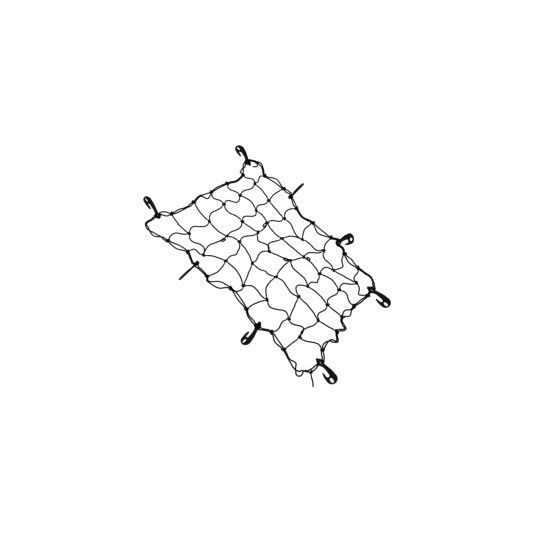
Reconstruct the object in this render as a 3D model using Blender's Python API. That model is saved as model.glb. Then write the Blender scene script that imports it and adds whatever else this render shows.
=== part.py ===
"""Elastic luggage net: a knotted cord web, the border cord laced round it, and eight moulded hooks.

Metres, +Z up. The net lies slack on a surface at z = 0. +X runs along the net and +Y across it, and the
origin is under the middle of the whole thing. Tables are in millimetres and degrees.
"""

import math
from collections import namedtuple

import bmesh
import bpy
from mathutils import Matrix, Vector
from mathutils.geometry import interpolate_bezier

MM = 0.001
UP = Vector((0.0, 0.0, 1.0))

# ---------------------------------------------------------------- driving sizes

PITCH_ALONG = 75.0  # between neighbouring crosswise strands
PITCH_ACROSS = 58.0  # between neighbouring lengthwise strands
CELLS_ALONG = 8
CELLS_ACROSS = 6
CENTRE_ALONG = 0.9  # where the middle of the even grid lies from the origin
CENTRE_ACROSS = 22.3

CORD = 3.5  # diameter of all the elastic cord
CLEARANCE = 0.5  # kept between pieces that touch in the real net
LIFT = 0.1  # of the lowest cords and hooks off the surface
REST_HEIGHT = 0.5 * CORD + LIFT  # of a cord's centreline where it lies on the surface
KNOT_HEIGHT = 3.85  # of the cords in a knot, whose lower side lies on the surface
KNOT_LEAD = 14.0  # a strand comes down from a knot over this length
ARCH_SHARE = 0.12  # a slack strand stands this share of its bow off the surface

# In an inner knot the crosswise strand is wound round the lengthwise one: (along the lengthwise, radius).
KNOT_WINDINGS = ((-3.4, 4.4), (0.0, 3.5), (3.4, 4.4))
KNOT_TAPER = 3.2  # from the last winding to the bare strand
EDGE_KNOT = (5.5, 5.4, 4.45)  # half length, half width and half height
EDGE_KNOT_SIDES = 6

HOOK_THICK = 5.0
EYE_RADIUS = 4.8
EYE_WALL = 2.8
EYE_SLOT = (-5.0, 1.0)  # where the eye's two round ends have their centres, along the hook
EYE_TO_END = 68.0
EYE_TILT = 55.0  # the cords pass through the eye at this angle to the plate

PAIR = CORD + CLEARANCE  # between the two edge cords where they run side by side
TIE_SPREAD = 7.6  # between them beside the border cord's own knot
FINE_STEPS = 10  # points read from each stretch of a smooth route
WEB_TOLERANCE = 1.5  # how far a web strand's facets may cut across its curve
EDGE_TOLERANCE = 0.7
EDGE_SPACING = 2.5  # the least between points of the border cord

# ---------------------------------------------------------------- tables

# How far each knot lies from the even grid, as (along, across). One row for each crosswise strand, from
# the net's low X end to its high X end. The first and last rows are the short edges, where lengthwise
# strands end on the border, and "edge_low" and "edge_high" are the long edges at low and high Y.
Knots = namedtuple("Knots", "edge_low one two three four five edge_high")
KNOT_SHIFT = (
    Knots(None, (-15, -15), (0, 5), (10, 10), (20, 10), (30, 10), None),
    Knots((-25, -25), (0, -20), (10, -5), (-5, 10), (5, 10), (5, 15), (5, 0)),
    Knots((-30, -5), (10, -35), (10, 0), (5, 10), (5, 10), (5, 5), (5, 10)),
    Knots((-5, -15), (-5, 0), (-25, 15), (-10, 20), (-15, 5), (10, -5), (10, -10)),
    Knots((-5, 10), (15, -15), (-20, -5), (-15, 0), (-20, 0), (25, -15), (5, -10)),
    Knots((0, 0), (20, 5), (-15, 15), (-25, 25), (-5, 5), (20, 5), (5, -5)),
    Knots((25, 5), (30, 10), (0, 20), (-5, 5), (-10, 0), (10, -20), (-5, -15)),
    Knots((10, -5), (15, -5), (15, 10), (0, 5), (-10, 5), (10, 0), (-20, -20)),
    Knots(None, (10, 15), (0, 25), (-20, 10), (-20, 0), (-15, -5), None),
)

# How slack each stretch of strand lies, as (bow, wave): how far it stands to the left at its middle, and
# how far its first half stands further to the left than its second.
# One row for each crosswise strand, and one column for each cell that it crosses, from low to high Y.
Crossing = namedtuple("Crossing", "cell_1 cell_2 cell_3 cell_4 cell_5 cell_6")
CROSSWISE_SLACK = (
    Crossing((15, 5), (5, 10), (10, 5), (-5, 10), (0, 5), (5, -5)),
    Crossing((10, 5), (10, 5), (-5, 5), (0, 10), (5, 5), (5, 0)),
    Crossing((-10, 0), (-10, 5), (5, 5), (-5, 0), (0, 5), (15, 0)),
    Crossing((-10, -5), (0, 0), (10, -5), (15, 5), (10, 0), (10, 0)),
    Crossing((5, 0), (15, 0), (5, 0), (0, 0), (5, 5), (5, 0)),
    Crossing((0, -5), (0, 0), (25, 0), (-5, 5), (15, 0), (-10, -5)),
    Crossing((0, 0), (5, 5), (5, 5), (5, 5), (10, 5), (5, 5)),
)
# One row for each lengthwise strand, and one column for each cell, from low to high X.
Length = namedtuple("Length", "cell_1 cell_2 cell_3 cell_4 cell_5 cell_6 cell_7 cell_8")
LENGTHWISE_SLACK = (
    Length((-5, 0), (5, -10), (5, 0), (10, 0), (10, 5), (0, -10), (15, -10), (5, -5)),
    Length((-5, 0), (-5, 0), (5, 0), (5, 0), (-5, 0), (0, 5), (5, 0), (0, 0)),
    Length((-5, -5), (-5, -5), (0, 0), (-5, -10), (0, 0), (0, -5), (5, 0), (0, 0)),
    Length((-5, -5), (10, 0), (5, 0), (-5, 0), (0, 0), (5, 0), (10, 0), (5, 5)),
    Length((5, -5), (5, 0), (0, 0), (0, 5), (-5, 5), (-5, -5), (0, 0), (-10, 5)),
)

# The hooks. "along" and "across" place the cords in the eye. "heading" is the way the hook points, seen
# from above. "lean" turns it about its own length, with its point up, and "raised" tips its far end up
# from where it rests. "point" says on which side of the heading its point lies: 1 is left, -1 right.
Hook = namedtuple("Hook", "along across heading lean raised point")
HOOKS = {
    "hook_corner_1": Hook(-338, -167, 174, 42, 20, 1),
    "hook_side_1": Hook(-130, -192, -82, 71, 0, 1),
    "hook_side_2": Hook(136, -187, -80, -25, 0, -1),
    "hook_corner_2": Hook(332, -133, -8, 0, 0, -1),
    "hook_corner_3": Hook(282, 130, 2, 0, 0, -1),
    "hook_side_3": Hook(110, 169, 28, -39, 58, -1),
    "hook_side_4": Hook(-103, 178, 56, 52, 63, -1),
    "hook_corner_4": Hook(-297, 170, 166, 20, 0, 1),
}

# The border's stops in order round the net, counterclockwise from above. A stop is a knot of the web, as
# (row, strand), a hook, the border cord's own knot, or a free bend, as (along, across). "gap" is how far
# apart the two edge cords lie halfway to the next stop, and "bulge" how far outwards they stand there.
Stop = namedtuple("Stop", "kind place gap bulge")
BORDER = (
    Stop("knot", (1, 0), 12, 2),
    Stop("knot", (2, 0), 4, 2),
    Stop("hook", "hook_side_1", 4, -2),
    Stop("knot", (3, 0), 20, 0),
    Stop("knot", (4, 0), 9, -2),
    Stop("knot", (5, 0), 5, 0),
    Stop("hook", "hook_side_2", 4, 0),
    Stop("knot", (6, 0), 10, 3),
    Stop("knot", (7, 0), 5, 2),
    Stop("bend", (296, -196), 4, 1),
    Stop("bend", (318, -197), 4, 2),
    Stop("tie", (331, -168), 6, 0),
    Stop("hook", "hook_corner_2", 6, 0),
    Stop("knot", (8, 1), 7, -2),
    Stop("bend", (318, -55), 4, 2),
    Stop("knot", (8, 2), 4, 1),
    Stop("bend", (313, -10), 4, 1),
    Stop("knot", (8, 3), 22, 0),
    Stop("knot", (8, 4), 5, 0),
    Stop("knot", (8, 5), 4, 0),
    Stop("hook", "hook_corner_3", 6, 3),
    Stop("bend", (262, 160), 5, 0),
    Stop("knot", (7, 6), 12, -2),
    Stop("knot", (6, 6), 4, 0),
    Stop("hook", "hook_side_3", 5, 0),
    Stop("knot", (5, 6), 10, -3),
    Stop("knot", (4, 6), 4, -8),
    Stop("knot", (3, 6), 6, 3),
    Stop("hook", "hook_side_4", 6, 0),
    Stop("knot", (2, 6), 9, 8),
    Stop("knot", (1, 6), 4, 2),
    Stop("bend", (-262, 184), 4, 2),
    Stop("hook", "hook_corner_4", 6, 0),
    Stop("knot", (0, 5), 4, -7),
    Stop("knot", (0, 4), 5, 4),
    Stop("knot", (0, 3), 14, 0),
    Stop("knot", (0, 2), 6, 0),
    Stop("knot", (0, 1), 12, 3),
    Stop("hook", "hook_corner_1", 4, 2),
    Stop("bend", (-342, -211), 9, 2),
)

# How the pair of cords threads a flat hook's eye, as (across the hook, above the eye's middle).
EYE_ROUTE = ((-8.5, -4.9), (-3.6, -4.6), (0.0, 0.0), (3.6, 4.6), (8.5, 4.9))
EYE_RUN = 17.0  # between an eye's middle and where the pair lies free again
EYE_PACE = 0.01  # of the way between stops that each millimetre through an eye counts for

# The border cord's free end beyond the knot that joins it, and a cut end of the web's cord at one corner.
TIE_TAIL = ((342, -177), (354, -184), (365, -193))
WEB_TAIL = ((-264, 180), (-265, 172), (-271, 167), (-280, 166))


# ---------------------------------------------------------------- places


def knot_place(row, strand):
    """Where the web's knot lies on the plan, in millimetres."""
    shift_along, shift_across = KNOT_SHIFT[row][strand]
    return Vector(
        (
            CENTRE_ALONG + (row - CELLS_ALONG / 2) * PITCH_ALONG + shift_along,
            CENTRE_ACROSS + (strand - CELLS_ACROSS / 2) * PITCH_ACROSS + shift_across,
            KNOT_HEIGHT,
        )
    )


def free_place(place, height):
    """A table's (along, across), measured from the even grid's middle, as a point of the plan."""
    return Vector((CENTRE_ALONG + place[0], CENTRE_ACROSS + place[1], height))


def left_of(direction):
    """The level unit vector to the left of a direction."""
    return Vector((-direction.y, direction.x, 0.0)).normalized()


def eye_share(hook):
    """How much of the flat hook's eye route this one needs: a leaning plate is easier to pass."""
    return max(0.0, 1 - abs(hook.lean) / EYE_TILT)


def hook_rest(hook):
    """The height of the eye, and how far the hook is tipped up, in radians.

    The rim of the eye, or the cords under it, and the round end lie on the surface, and then the hook is
    tipped up further where it is raised.
    """
    lean, raised = math.radians(hook.lean), math.radians(hook.raised)
    half_thick = 0.5 * HOOK_THICK * math.cos(lean)
    outline = [(point.x, half_thick + LIFT - point.y * math.sin(lean)) for point in hook_outline()]
    under_rim = REST_HEIGHT - EYE_ROUTE[0][1] * eye_share(hook)
    rest = 0.0
    for _ in range(8):
        slope = math.sin(rest + raised)
        height = max(under_rim, *(need - x * slope for x, need in outline if x < EYE_SLOT[1]))
        rest = math.asin(max((need - height) / x for x, need in outline if x > EYE_TO_END / 4))
    return height, rest + raised


def hook_axes(hook):
    """The hook's own axes: along it, across it towards its point, and square to the first, upwards."""
    heading = math.radians(hook.heading)
    level = Vector((math.cos(heading), math.sin(heading), 0.0))
    _, rise = hook_rest(hook)
    ahead = level * math.cos(rise) + UP * math.sin(rise)
    above = UP * math.cos(rise) - level * math.sin(rise)
    lean = math.radians(hook.lean)
    across = left_of(level) * hook.point * math.cos(lean) + above * math.sin(lean)
    return ahead, across, above


def eye_place(hook):
    """The centre of a hook's eye."""
    height, _ = hook_rest(hook)
    return free_place((hook.along, hook.across), height)


# ---------------------------------------------------------------- routes


def smooth(points, closed=False):
    """Points read from a smooth curve through the given ones."""
    count = len(points)
    tangents = []
    for i, point in enumerate(points):
        before = points[i - 1] if closed or i else point
        after = points[(i + 1) % count] if closed or i < count - 1 else point
        tangents.append((after - before).normalized())
    route = []
    for i in range(count if closed else count - 1):
        start, end = points[i], points[(i + 1) % count]
        reach = (end - start).length / 3
        handle_1 = start + tangents[i] * reach
        handle_2 = end - tangents[(i + 1) % count] * reach
        route += interpolate_bezier(start, handle_1, handle_2, end, FINE_STEPS + 1)[:-1]
    return route if closed else [*route, points[-1].copy()]


def thinned_places(points, tolerance):
    """Which of the points a route needs: the rest lie within the tolerance of straight lines between."""
    start, end = points[0], points[-1]
    line = (end - start).normalized()
    strays = [(point - start - line * (point - start).dot(line)).length for point in points]
    furthest = max(range(len(points)), key=strays.__getitem__)
    if strays[furthest] < tolerance:
        return [0, len(points) - 1]
    before = thinned_places(points[: furthest + 1], tolerance)
    after = thinned_places(points[furthest:], tolerance)
    return before[:-1] + [furthest + place for place in after]


def thinned(points, tolerance):
    """The points that a route needs."""
    return [points[place] for place in thinned_places(points, tolerance)]


def slack_stretch(start, end, slack):
    """Points of a strand from knot to knot: it bows to the left and dips from the knots to the surface."""
    bow, wave = slack
    run = end - start
    side = left_of(run)
    route = []
    for i in range(FINE_STEPS * 2 + 1):
        share = i / (FINE_STEPS * 2)
        sideways = bow * math.sin(math.pi * share) + wave * math.sin(2 * math.pi * share)
        point = start + run * share + side * sideways
        from_knot = min(share, 1 - share) * run.length
        lead = max(0.0, 1 - from_knot / KNOT_LEAD) ** 2
        arch = ARCH_SHARE * abs(sideways)
        point.z = REST_HEIGHT + lead * (KNOT_HEIGHT - REST_HEIGHT) + arch * (1 - lead)
        route.append(point)
    return route


def crosswise_route(knots, slacks):
    """A crosswise strand through its knots, thinned to what its shape needs."""
    route = [knots[0]]
    for start, end, slack in zip(knots, knots[1:], slacks):
        route += thinned(slack_stretch(start, end, slack), WEB_TOLERANCE)[1:]
    return route, [CORD / 2] * len(route)


def lengthwise_route(knots, slacks):
    """A lengthwise strand with the windings of its knots, as points and a radius at each."""
    stretches = [slack_stretch(*ends, slack) for *ends, slack in zip(knots, knots[1:], slacks)]
    route, radii = [knots[0]], [CORD / 2]
    clear = KNOT_WINDINGS[-1][0] + KNOT_TAPER
    for i, stretch in enumerate(stretches):
        start, end = stretch[0], stretch[-1]
        free = [point for point in stretch if min((point - start).length, (point - end).length) > clear]
        free = thinned(free, WEB_TOLERANCE)
        route += free
        radii += [CORD / 2] * len(free)
        if i < len(stretches) - 1:
            direction = (stretches[i + 1][1] - stretch[-2]).normalized()
            direction.z = 0
            route += [end + direction * along for along, _ in KNOT_WINDINGS]
            radii += [radius for _, radius in KNOT_WINDINGS]
    return [*route, knots[-1]], [*radii, CORD / 2]


def ease(share):
    """Runs from 0 to 1 with level ends."""
    return 0.5 - 0.5 * math.cos(math.pi * share)


def stop_place(stop):
    """Where the middle of the two edge cords lies at a stop."""
    if stop.kind == "knot":
        return knot_place(*stop.place)
    if stop.kind == "hook":
        return eye_place(HOOKS[stop.place])
    return free_place(stop.place, KNOT_HEIGHT if stop.kind == "tie" else REST_HEIGHT)


# A point of the edge's middle line. "where" counts stops: 3.5 is halfway from stop 3 to stop 4, where the
# line bulges. "outwards" is the way from the edge strand to the border cord.
Station = namedtuple("Station", "point where outwards in_eye")


def eye_stations(hook, index):
    """The middle line through a hook's eye."""
    ahead, across, above = hook_axes(hook)
    travel = left_of(ahead)
    climb = -1 if across.z * across.dot(travel) > 0 else 1
    stations = []
    for run, lift in EYE_ROUTE:
        point = eye_place(hook) + travel * run + above * lift * climb * eye_share(hook)
        stations.append(Station(point, index + run * EYE_PACE, ahead, True))
    return stations


def border_stations():
    """The edge's middle line round the net."""
    places = [stop_place(stop) for stop in BORDER]
    stations = []
    for i, stop in enumerate(BORDER):
        before, centre, after = places[i - 1], places[i], places[(i + 1) % len(BORDER)]
        next_stop = BORDER[(i + 1) % len(BORDER)]
        run = after - centre
        if stop.kind == "hook":
            stations += eye_stations(HOOKS[stop.place], i)
        else:
            stations.append(Station(centre, i, -left_of(after - before), False))
        leads = [EYE_RUN if end.kind == "hook" else KNOT_LEAD for end in (stop, next_stop)]
        if run.length > sum(leads) + KNOT_LEAD:
            middle = centre + run / 2 - left_of(run) * stop.bulge
            middle.z = REST_HEIGHT
            stations.append(Station(middle, i + 0.5, -left_of(run), False))
    return stations


def spread(where):
    """How far apart the two edge cords lie at a place between stops."""
    stop = BORDER[math.floor(where) % len(BORDER)]
    after = BORDER[math.floor(where + 1) % len(BORDER)]
    share = where % 1
    near = stop if share < 0.5 else after
    at_stop = TIE_SPREAD if near.kind == "tie" else PAIR
    return at_stop + (max(stop.gap, PAIR) - at_stop) * ease(2 * min(share, 1 - share))


def edge_cords():
    """The closed routes of the border cord, outside, and of the web's own edge strand, inside it."""
    stations = border_stations()
    middle_line = smooth([station.point for station in stations], closed=True)
    border, edge = [], []
    for i, point in enumerate(middle_line):
        number, step = divmod(i, FINE_STEPS)
        share = step / FINE_STEPS
        here, there = stations[number], stations[(number + 1) % len(stations)]
        gone = ((there.where or len(BORDER)) - here.where) * share
        outwards = here.outwards.lerp(there.outwards, share).normalized()
        outwards *= spread(here.where + gone) / 2
        for route, place in ((border, point + outwards), (edge, point - outwards)):
            place.z = max(place.z, REST_HEIGHT)
            route.append(place)
    shape = set(thinned_places([*border, border[0]], EDGE_TOLERANCE)[:-1])
    in_eyes = {i * FINE_STEPS for i, station in enumerate(stations) if station.in_eye}
    kept = []
    for i in sorted(shape | in_eyes):
        near_eye = any(abs(i - place) < FINE_STEPS and i != place for place in in_eyes)
        if not near_eye and (not kept or (border[i] - border[kept[-1]]).length > EDGE_SPACING):
            kept.append(i)
    return [border[i] for i in kept], [edge[i] for i in kept]


# ---------------------------------------------------------------- solids


def start_scene():
    """An empty scene with a collection for the net and one for the shapes that it is made from."""
    for old in list(bpy.data.objects):
        bpy.data.objects.remove(old, do_unlink=True)
    made = []
    for name in ("cargo_net", "cord_shapes", "cutters"):
        collection = bpy.data.collections.new(name)
        bpy.context.scene.collection.children.link(collection)
        made.append(collection)
    return made


def finish_material(name, colour, roughness):
    """A plain non-metallic finish."""
    material = bpy.data.materials.new(name)
    material.use_nodes = True
    shader = material.node_tree.nodes["Principled BSDF"]
    shader.inputs["Base Color"].default_value = (*colour, 1)
    shader.inputs["Roughness"].default_value = roughness
    shader.inputs["Metallic"].default_value = 0.0
    material.diffuse_color = (*colour, 1)
    return material


def mesh_object(name, mesh, collection, material):
    """A named object in a collection, with its material."""
    made = bpy.data.objects.new(name, mesh)
    mesh.materials.clear()
    mesh.materials.append(material)
    collection.objects.link(made)
    return made


def tube(name, route, radii, collection, material, closed=False):
    """A round cord along a route in millimetres, with a radius at each point, as a closed mesh."""
    curve = bpy.data.curves.new(name, "CURVE")
    curve.dimensions = "3D"
    curve.twist_mode = "Z_UP"
    curve.bevel_depth = MM
    curve.bevel_resolution = 1
    curve.use_fill_caps = not closed
    spline = curve.splines.new("POLY")
    spline.points.add(len(route) - 1)
    for target, point, radius in zip(spline.points, route, radii):
        target.co = (*(point * MM), 1)
        target.radius = radius
    spline.use_cyclic_u = closed
    guide = bpy.data.objects.new(name + "_line", curve)
    collection.objects.link(guide)
    graph = bpy.context.evaluated_depsgraph_get()
    mesh = bpy.data.meshes.new_from_object(guide.evaluated_get(graph))
    bpy.data.objects.remove(guide)
    work = bmesh.new()
    work.from_mesh(mesh)
    bmesh.ops.remove_doubles(work, verts=work.verts, dist=1e-6)
    bmesh.ops.recalc_face_normals(work, faces=work.faces)
    work.to_mesh(mesh)
    work.free()
    return mesh_object(name, mesh, collection, material)


def edge_knot(name, place, direction, collection, material):
    """A knot on the edge, lying along a level direction with a facet on the surface."""
    work = bmesh.new()
    bmesh.ops.create_cone(
        work, cap_ends=True, segments=EDGE_KNOT_SIDES, radius1=1.0, radius2=1.0, depth=2.0
    )
    lie_down = Matrix.Rotation(math.pi / 2, 4, "Y")
    stretch = Matrix.Diagonal((*EDGE_KNOT, 1))
    turn = Matrix.Rotation(math.atan2(direction.y, direction.x), 4, "Z")
    place_it = Matrix.Scale(MM, 4) @ Matrix.Translation(place) @ turn @ stretch @ lie_down
    bmesh.ops.transform(work, matrix=place_it, verts=work.verts)
    mesh = bpy.data.meshes.new(name)
    work.to_mesh(mesh)
    work.free()
    return mesh_object(name, mesh, collection, material)


def joined(name, shapes, collection, material, cutter=None):
    """One solid from overlapping shapes, less a cutter."""
    base, *others = shapes
    tools = bpy.data.collections.new(name + "_shapes")
    for other in others:
        tools.objects.link(other)
    union = base.modifiers.new("join", "BOOLEAN")
    union.operation = "UNION"
    union.solver = "EXACT"
    union.operand_type = "COLLECTION"
    union.collection = tools
    if cutter:
        lacing = base.modifiers.new("lacing", "BOOLEAN")
        lacing.operation = "DIFFERENCE"
        lacing.solver = "EXACT"
        lacing.object = cutter
    graph = bpy.context.evaluated_depsgraph_get()
    mesh = bpy.data.meshes.new_from_object(base.evaluated_get(graph))
    for shape in shapes:
        bpy.data.objects.remove(shape)
    bpy.data.collections.remove(tools)
    return mesh_object(name, mesh, collection, material)


def nearest_place(route, place):
    """The route's point nearest to a place, and the route's direction there."""
    i = min(range(len(route)), key=lambda i: (route[i] - place).length)
    return route[i], route[(i + 1) % len(route)] - route[i - 1]


def build_web(border, edge, shapes, net, elastic, lacing):
    """The knotted web: strands both ways, its own edge strand, and a knot wherever cords meet."""
    pieces = [tube("edge_strand", edge, [CORD / 2] * len(edge), shapes, elastic, closed=True)]
    for strand, slacks in enumerate(LENGTHWISE_SLACK, start=1):
        knots = [knot_place(row, strand) for row in range(CELLS_ALONG + 1)]
        pieces.append(tube(f"length_{strand}", *lengthwise_route(knots, slacks), shapes, elastic))
    for row, slacks in enumerate(CROSSWISE_SLACK, start=1):
        knots = [knot_place(row, strand) for strand in range(CELLS_ACROSS + 1)]
        pieces.append(tube(f"cross_{row}", *crosswise_route(knots, slacks), shapes, elastic))
    for stop in BORDER:
        if stop.kind == "knot":
            place = knot_place(*stop.place)
            _, direction = nearest_place(border, place)
            pieces.append(edge_knot("edge_knot", place, direction, shapes, elastic))
    tail = [free_place(place, REST_HEIGHT) for place in WEB_TAIL]
    tail[0], _ = nearest_place(edge, tail[0])
    tail = thinned(smooth(tail), WEB_TOLERANCE)
    pieces.append(tube("web_tail", tail, [CORD / 2] * len(tail), shapes, elastic))
    return joined("web", pieces, net, elastic, lacing)


def build_border(border, shapes, net, elastic):
    """The border cord, its joining knot and its free end."""
    loop = tube("loop", border, [CORD / 2] * len(border), shapes, elastic, closed=True)
    tie = next(stop for stop in BORDER if stop.kind == "tie")
    place, direction = nearest_place(border, stop_place(tie))
    place = Vector((place.x, place.y, KNOT_HEIGHT))
    knot = edge_knot("tie_knot", place, direction, shapes, elastic)
    tail = [place, *(free_place(spot, REST_HEIGHT) for spot in TIE_TAIL)]
    tail = thinned(smooth(tail), WEB_TOLERANCE)
    free_end = tube("tie_tail", tail, [CORD / 2] * len(tail), shapes, elastic)
    return joined("border_cord", [loop, knot, free_end], net, elastic)


# ---------------------------------------------------------------- hooks

BEND_RADIUS = 16.0
BEND = Vector((EYE_TO_END - BEND_RADIUS, 0.0))  # centre of the hook's round end
BEND_HOLE = (7.6, 4.9)  # half its length and half its width
BEND_HOLE_PLACE = Vector((56.5, 3.0))
THROAT = Vector((39.0, 4.6))  # centre of the round seat inside the hook
THROAT_RADIUS = 5.4
POINT = Vector((27.0, 11.6))
POINT_RADIUS = 1.3


def arc(centre, radii, start, end, steps):
    """Points along an arc or a piece of an ellipse, with its angles in degrees."""
    points = []
    for i in range(steps + 1):
        angle = math.radians(start + (end - start) * i / steps)
        points.append(centre + Vector((math.cos(angle) * radii[0], math.sin(angle) * radii[1])))
    return points


def hook_outline():
    """The hook face on, counterclockwise: X runs from the eye to its end, and its point is on the +Y side."""
    rim = EYE_RADIUS + EYE_WALL
    eye_end = arc(Vector((EYE_SLOT[0], 0.0)), (rim, rim), 90, 270, 8)
    back = [Vector((6.0, -7.4)), Vector((20.0, -10.6)), Vector((34.0, -14.4))]
    bend = arc(BEND, (BEND_RADIUS, BEND_RADIUS), -105, 95, 12)
    arm = [Vector((40.0, 16.0)), Vector((33.0, 14.8))]
    point = arc(POINT, (POINT_RADIUS, POINT_RADIUS), 110, 260, 2)
    arm_inside = [Vector((32.5, 9.6))]
    seat = arc(THROAT, (THROAT_RADIUS, THROAT_RADIUS), 80, -80, 5)
    shank = [Vector((28.0, -0.6)), Vector((16.0, 0.4)), Vector((9.0, 3.4)), Vector((3.0, rim))]
    return [*eye_end, *back, *bend, *arm, *point, *arm_inside, *seat, *shank]


def hook_holes():
    """The eye, a slot with round ends, and the oval hole in the round end."""
    eye = (EYE_RADIUS, EYE_RADIUS)
    low, high = (Vector((place, 0.0)) for place in EYE_SLOT)
    yield [*arc(high, eye, -90, 90, 6), *arc(low, eye, 90, 270, 6)]
    yield arc(BEND_HOLE_PLACE, BEND_HOLE, 0, 330, 11)


def build_hook(name, hook, net, plastic):
    """One moulded hook: a flat outline with its eye and the hole in its round end, extruded."""
    curve = bpy.data.curves.new(name, "CURVE")
    curve.dimensions = "2D"
    curve.fill_mode = "BOTH"
    curve.extrude = 0.5 * HOOK_THICK * MM
    for outline in (hook_outline(), *hook_holes()):
        spline = curve.splines.new("POLY")
        spline.points.add(len(outline) - 1)
        for target, point in zip(spline.points, outline):
            target.co = (point.x * MM, point.y * MM, 0, 1)
        spline.use_cyclic_u = True
    guide = bpy.data.objects.new(name + "_outline", curve)
    net.objects.link(guide)
    graph = bpy.context.evaluated_depsgraph_get()
    mesh = bpy.data.meshes.new_from_object(guide.evaluated_get(graph))
    bpy.data.objects.remove(guide)
    ahead, across, _ = hook_axes(hook)
    axes = Matrix((ahead, across, ahead.cross(across))).transposed().to_4x4()
    work = bmesh.new()
    work.from_mesh(mesh)
    bmesh.ops.remove_doubles(work, verts=work.verts, dist=1e-6)
    bmesh.ops.recalc_face_normals(work, faces=work.faces)
    work.to_mesh(mesh)
    work.free()
    made = mesh_object(name, mesh, net, plastic)
    made.matrix_world = Matrix.Translation(eye_place(hook) * MM) @ axes
    return made


def main():
    """Builds the web, the border cord and the hooks."""
    net, shapes, cutters = start_scene()
    elastic = finish_material("black_elastic_cord", (0.02, 0.02, 0.02), 0.75)
    plastic = finish_material("black_moulded_plastic", (0.03, 0.028, 0.025), 0.4)
    border, edge = edge_cords()
    bore = [CORD / 2 + CLEARANCE] * len(border)
    lacing = tube("lacing_cutter", border, bore, cutters, elastic, closed=True)
    lacing.hide_render = True
    lacing.display_type = "WIRE"
    build_web(border, edge, shapes, net, elastic, lacing)
    build_border(border, shapes, net, elastic)
    for name, hook in HOOKS.items():
        build_hook(name, hook, net, plastic)


main()
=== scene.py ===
"""Looks of an elastic luggage net: knotted cords, the cord laced round their edge, and moulded hooks.

Tables are in millimetres and degrees, and what is made for Blender is in metres. +X runs along the net, +Y
across it and +Z up. The net lies slack on a surface at z = 0.
"""

import logging
import math
from dataclasses import dataclass, field
from enum import Enum
from typing import Callable, NamedTuple, Sequence

import bmesh
import bpy
from bpy.types import ID, Material, Mesh, Node, NodeInputs, NodeOutputs, NodeSocket, NodeTree, Object
from mathutils import Matrix, Vector
from mathutils.geometry import interpolate_bezier


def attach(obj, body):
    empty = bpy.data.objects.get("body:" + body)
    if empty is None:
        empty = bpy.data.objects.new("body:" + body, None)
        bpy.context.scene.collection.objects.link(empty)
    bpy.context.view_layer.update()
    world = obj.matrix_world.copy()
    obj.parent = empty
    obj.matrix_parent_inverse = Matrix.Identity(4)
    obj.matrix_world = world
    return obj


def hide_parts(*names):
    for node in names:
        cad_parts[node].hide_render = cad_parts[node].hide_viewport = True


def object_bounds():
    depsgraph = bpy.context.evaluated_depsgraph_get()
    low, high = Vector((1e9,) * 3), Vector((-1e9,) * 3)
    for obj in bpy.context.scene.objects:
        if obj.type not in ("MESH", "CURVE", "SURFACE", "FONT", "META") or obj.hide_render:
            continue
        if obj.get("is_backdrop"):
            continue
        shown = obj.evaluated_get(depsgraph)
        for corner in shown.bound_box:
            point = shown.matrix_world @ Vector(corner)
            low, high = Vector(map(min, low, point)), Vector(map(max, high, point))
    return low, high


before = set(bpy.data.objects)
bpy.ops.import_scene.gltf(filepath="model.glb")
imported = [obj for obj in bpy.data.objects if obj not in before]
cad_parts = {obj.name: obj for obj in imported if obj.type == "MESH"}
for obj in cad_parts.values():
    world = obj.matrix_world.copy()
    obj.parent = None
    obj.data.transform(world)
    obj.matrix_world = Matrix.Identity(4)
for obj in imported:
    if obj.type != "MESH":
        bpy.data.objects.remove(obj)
CAD_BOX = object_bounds()

LOG = logging.getLogger("cargo_net")
MM = 0.001
UP = Vector((0.0, 0.0, 1.0))

Pair = tuple[float, float]
Colour = tuple[float, float, float, float]


class Slot(Enum):
    """The material slots."""

    CORD = "elastic_cord"
    PLASTIC = "moulded_plastic"


# ---------------- sizes that the pieces share


@dataclass(frozen=True)
class Elastic:
    """The elastic cord, in millimetres.

    Attributes:
        radius: of the bare cord.
        wound: its radius where it is pulled tight round another cord.
        gripped: its radius where a knot is pulled tight round it.
        lift: of the lowest cord off the surface.
        sides: of the round section that is modelled.
        pace: between the points of a bare stretch.
        ring_pace: between the rings of the cords, at most.
    """

    radius: float = 1.75
    wound: float = 1.3
    gripped: float = 1.4
    lift: float = 0.1
    sides: int = 12
    pace: float = 3.0
    ring_pace: float = 1.8

    @property
    def rest_height(self) -> float:
        """Height of the centreline where the cord lies on the surface."""
        return self.radius + self.lift


@dataclass(frozen=True)
class Grid:
    """The even grid that the slack net departs from, in millimetres.

    Attributes:
        pitch_along: between its crosswise strands.
        pitch_across: between its lengthwise strands.
        cells_along: how many lie between its short edges.
        cells_across: how many lie between its long edges.
        centre_along: where its middle lies in the net's frame.
        centre_across: the same, across the net.
        knot_height: of a knot's middle.
        knot_lead: how far from a knot a cord begins to climb to it.
        arch_share: how high a slack stretch arches for each millimetre that it stands aside.
        flat_area: an area given for the flat net, in square metres.
    """

    pitch_along: float = 75.0
    pitch_across: float = 58.0
    cells_along: int = 8
    cells_across: int = 6
    centre_along: float = 0.9
    centre_across: float = 22.3
    knot_height: float = 3.85
    knot_lead: float = 14.0
    arch_share: float = 0.12
    flat_area: float = 0.063

    def place(self, spot: Pair, height: float) -> Vector:
        """The point at (along, across) from the even grid's middle, in the net's frame."""
        return Vector((self.centre_along + spot[0], self.centre_across + spot[1], height))

    def knot(self, row: int, strand: int) -> Vector:
        """Where a knot lies.

        Args:
            row: number of the crosswise strand, from 0 at the low X edge.
            strand: number of the lengthwise strand, from 0 at the low Y edge.

        Returns:
            The middle of the knot.
        """
        shift_along, shift_across = KNOT_SHIFT[row][strand]
        along = (row - self.cells_along / 2) * self.pitch_along + shift_along
        across = (strand - self.cells_across / 2) * self.pitch_across + shift_across
        return self.place((along, across), self.knot_height)


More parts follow.
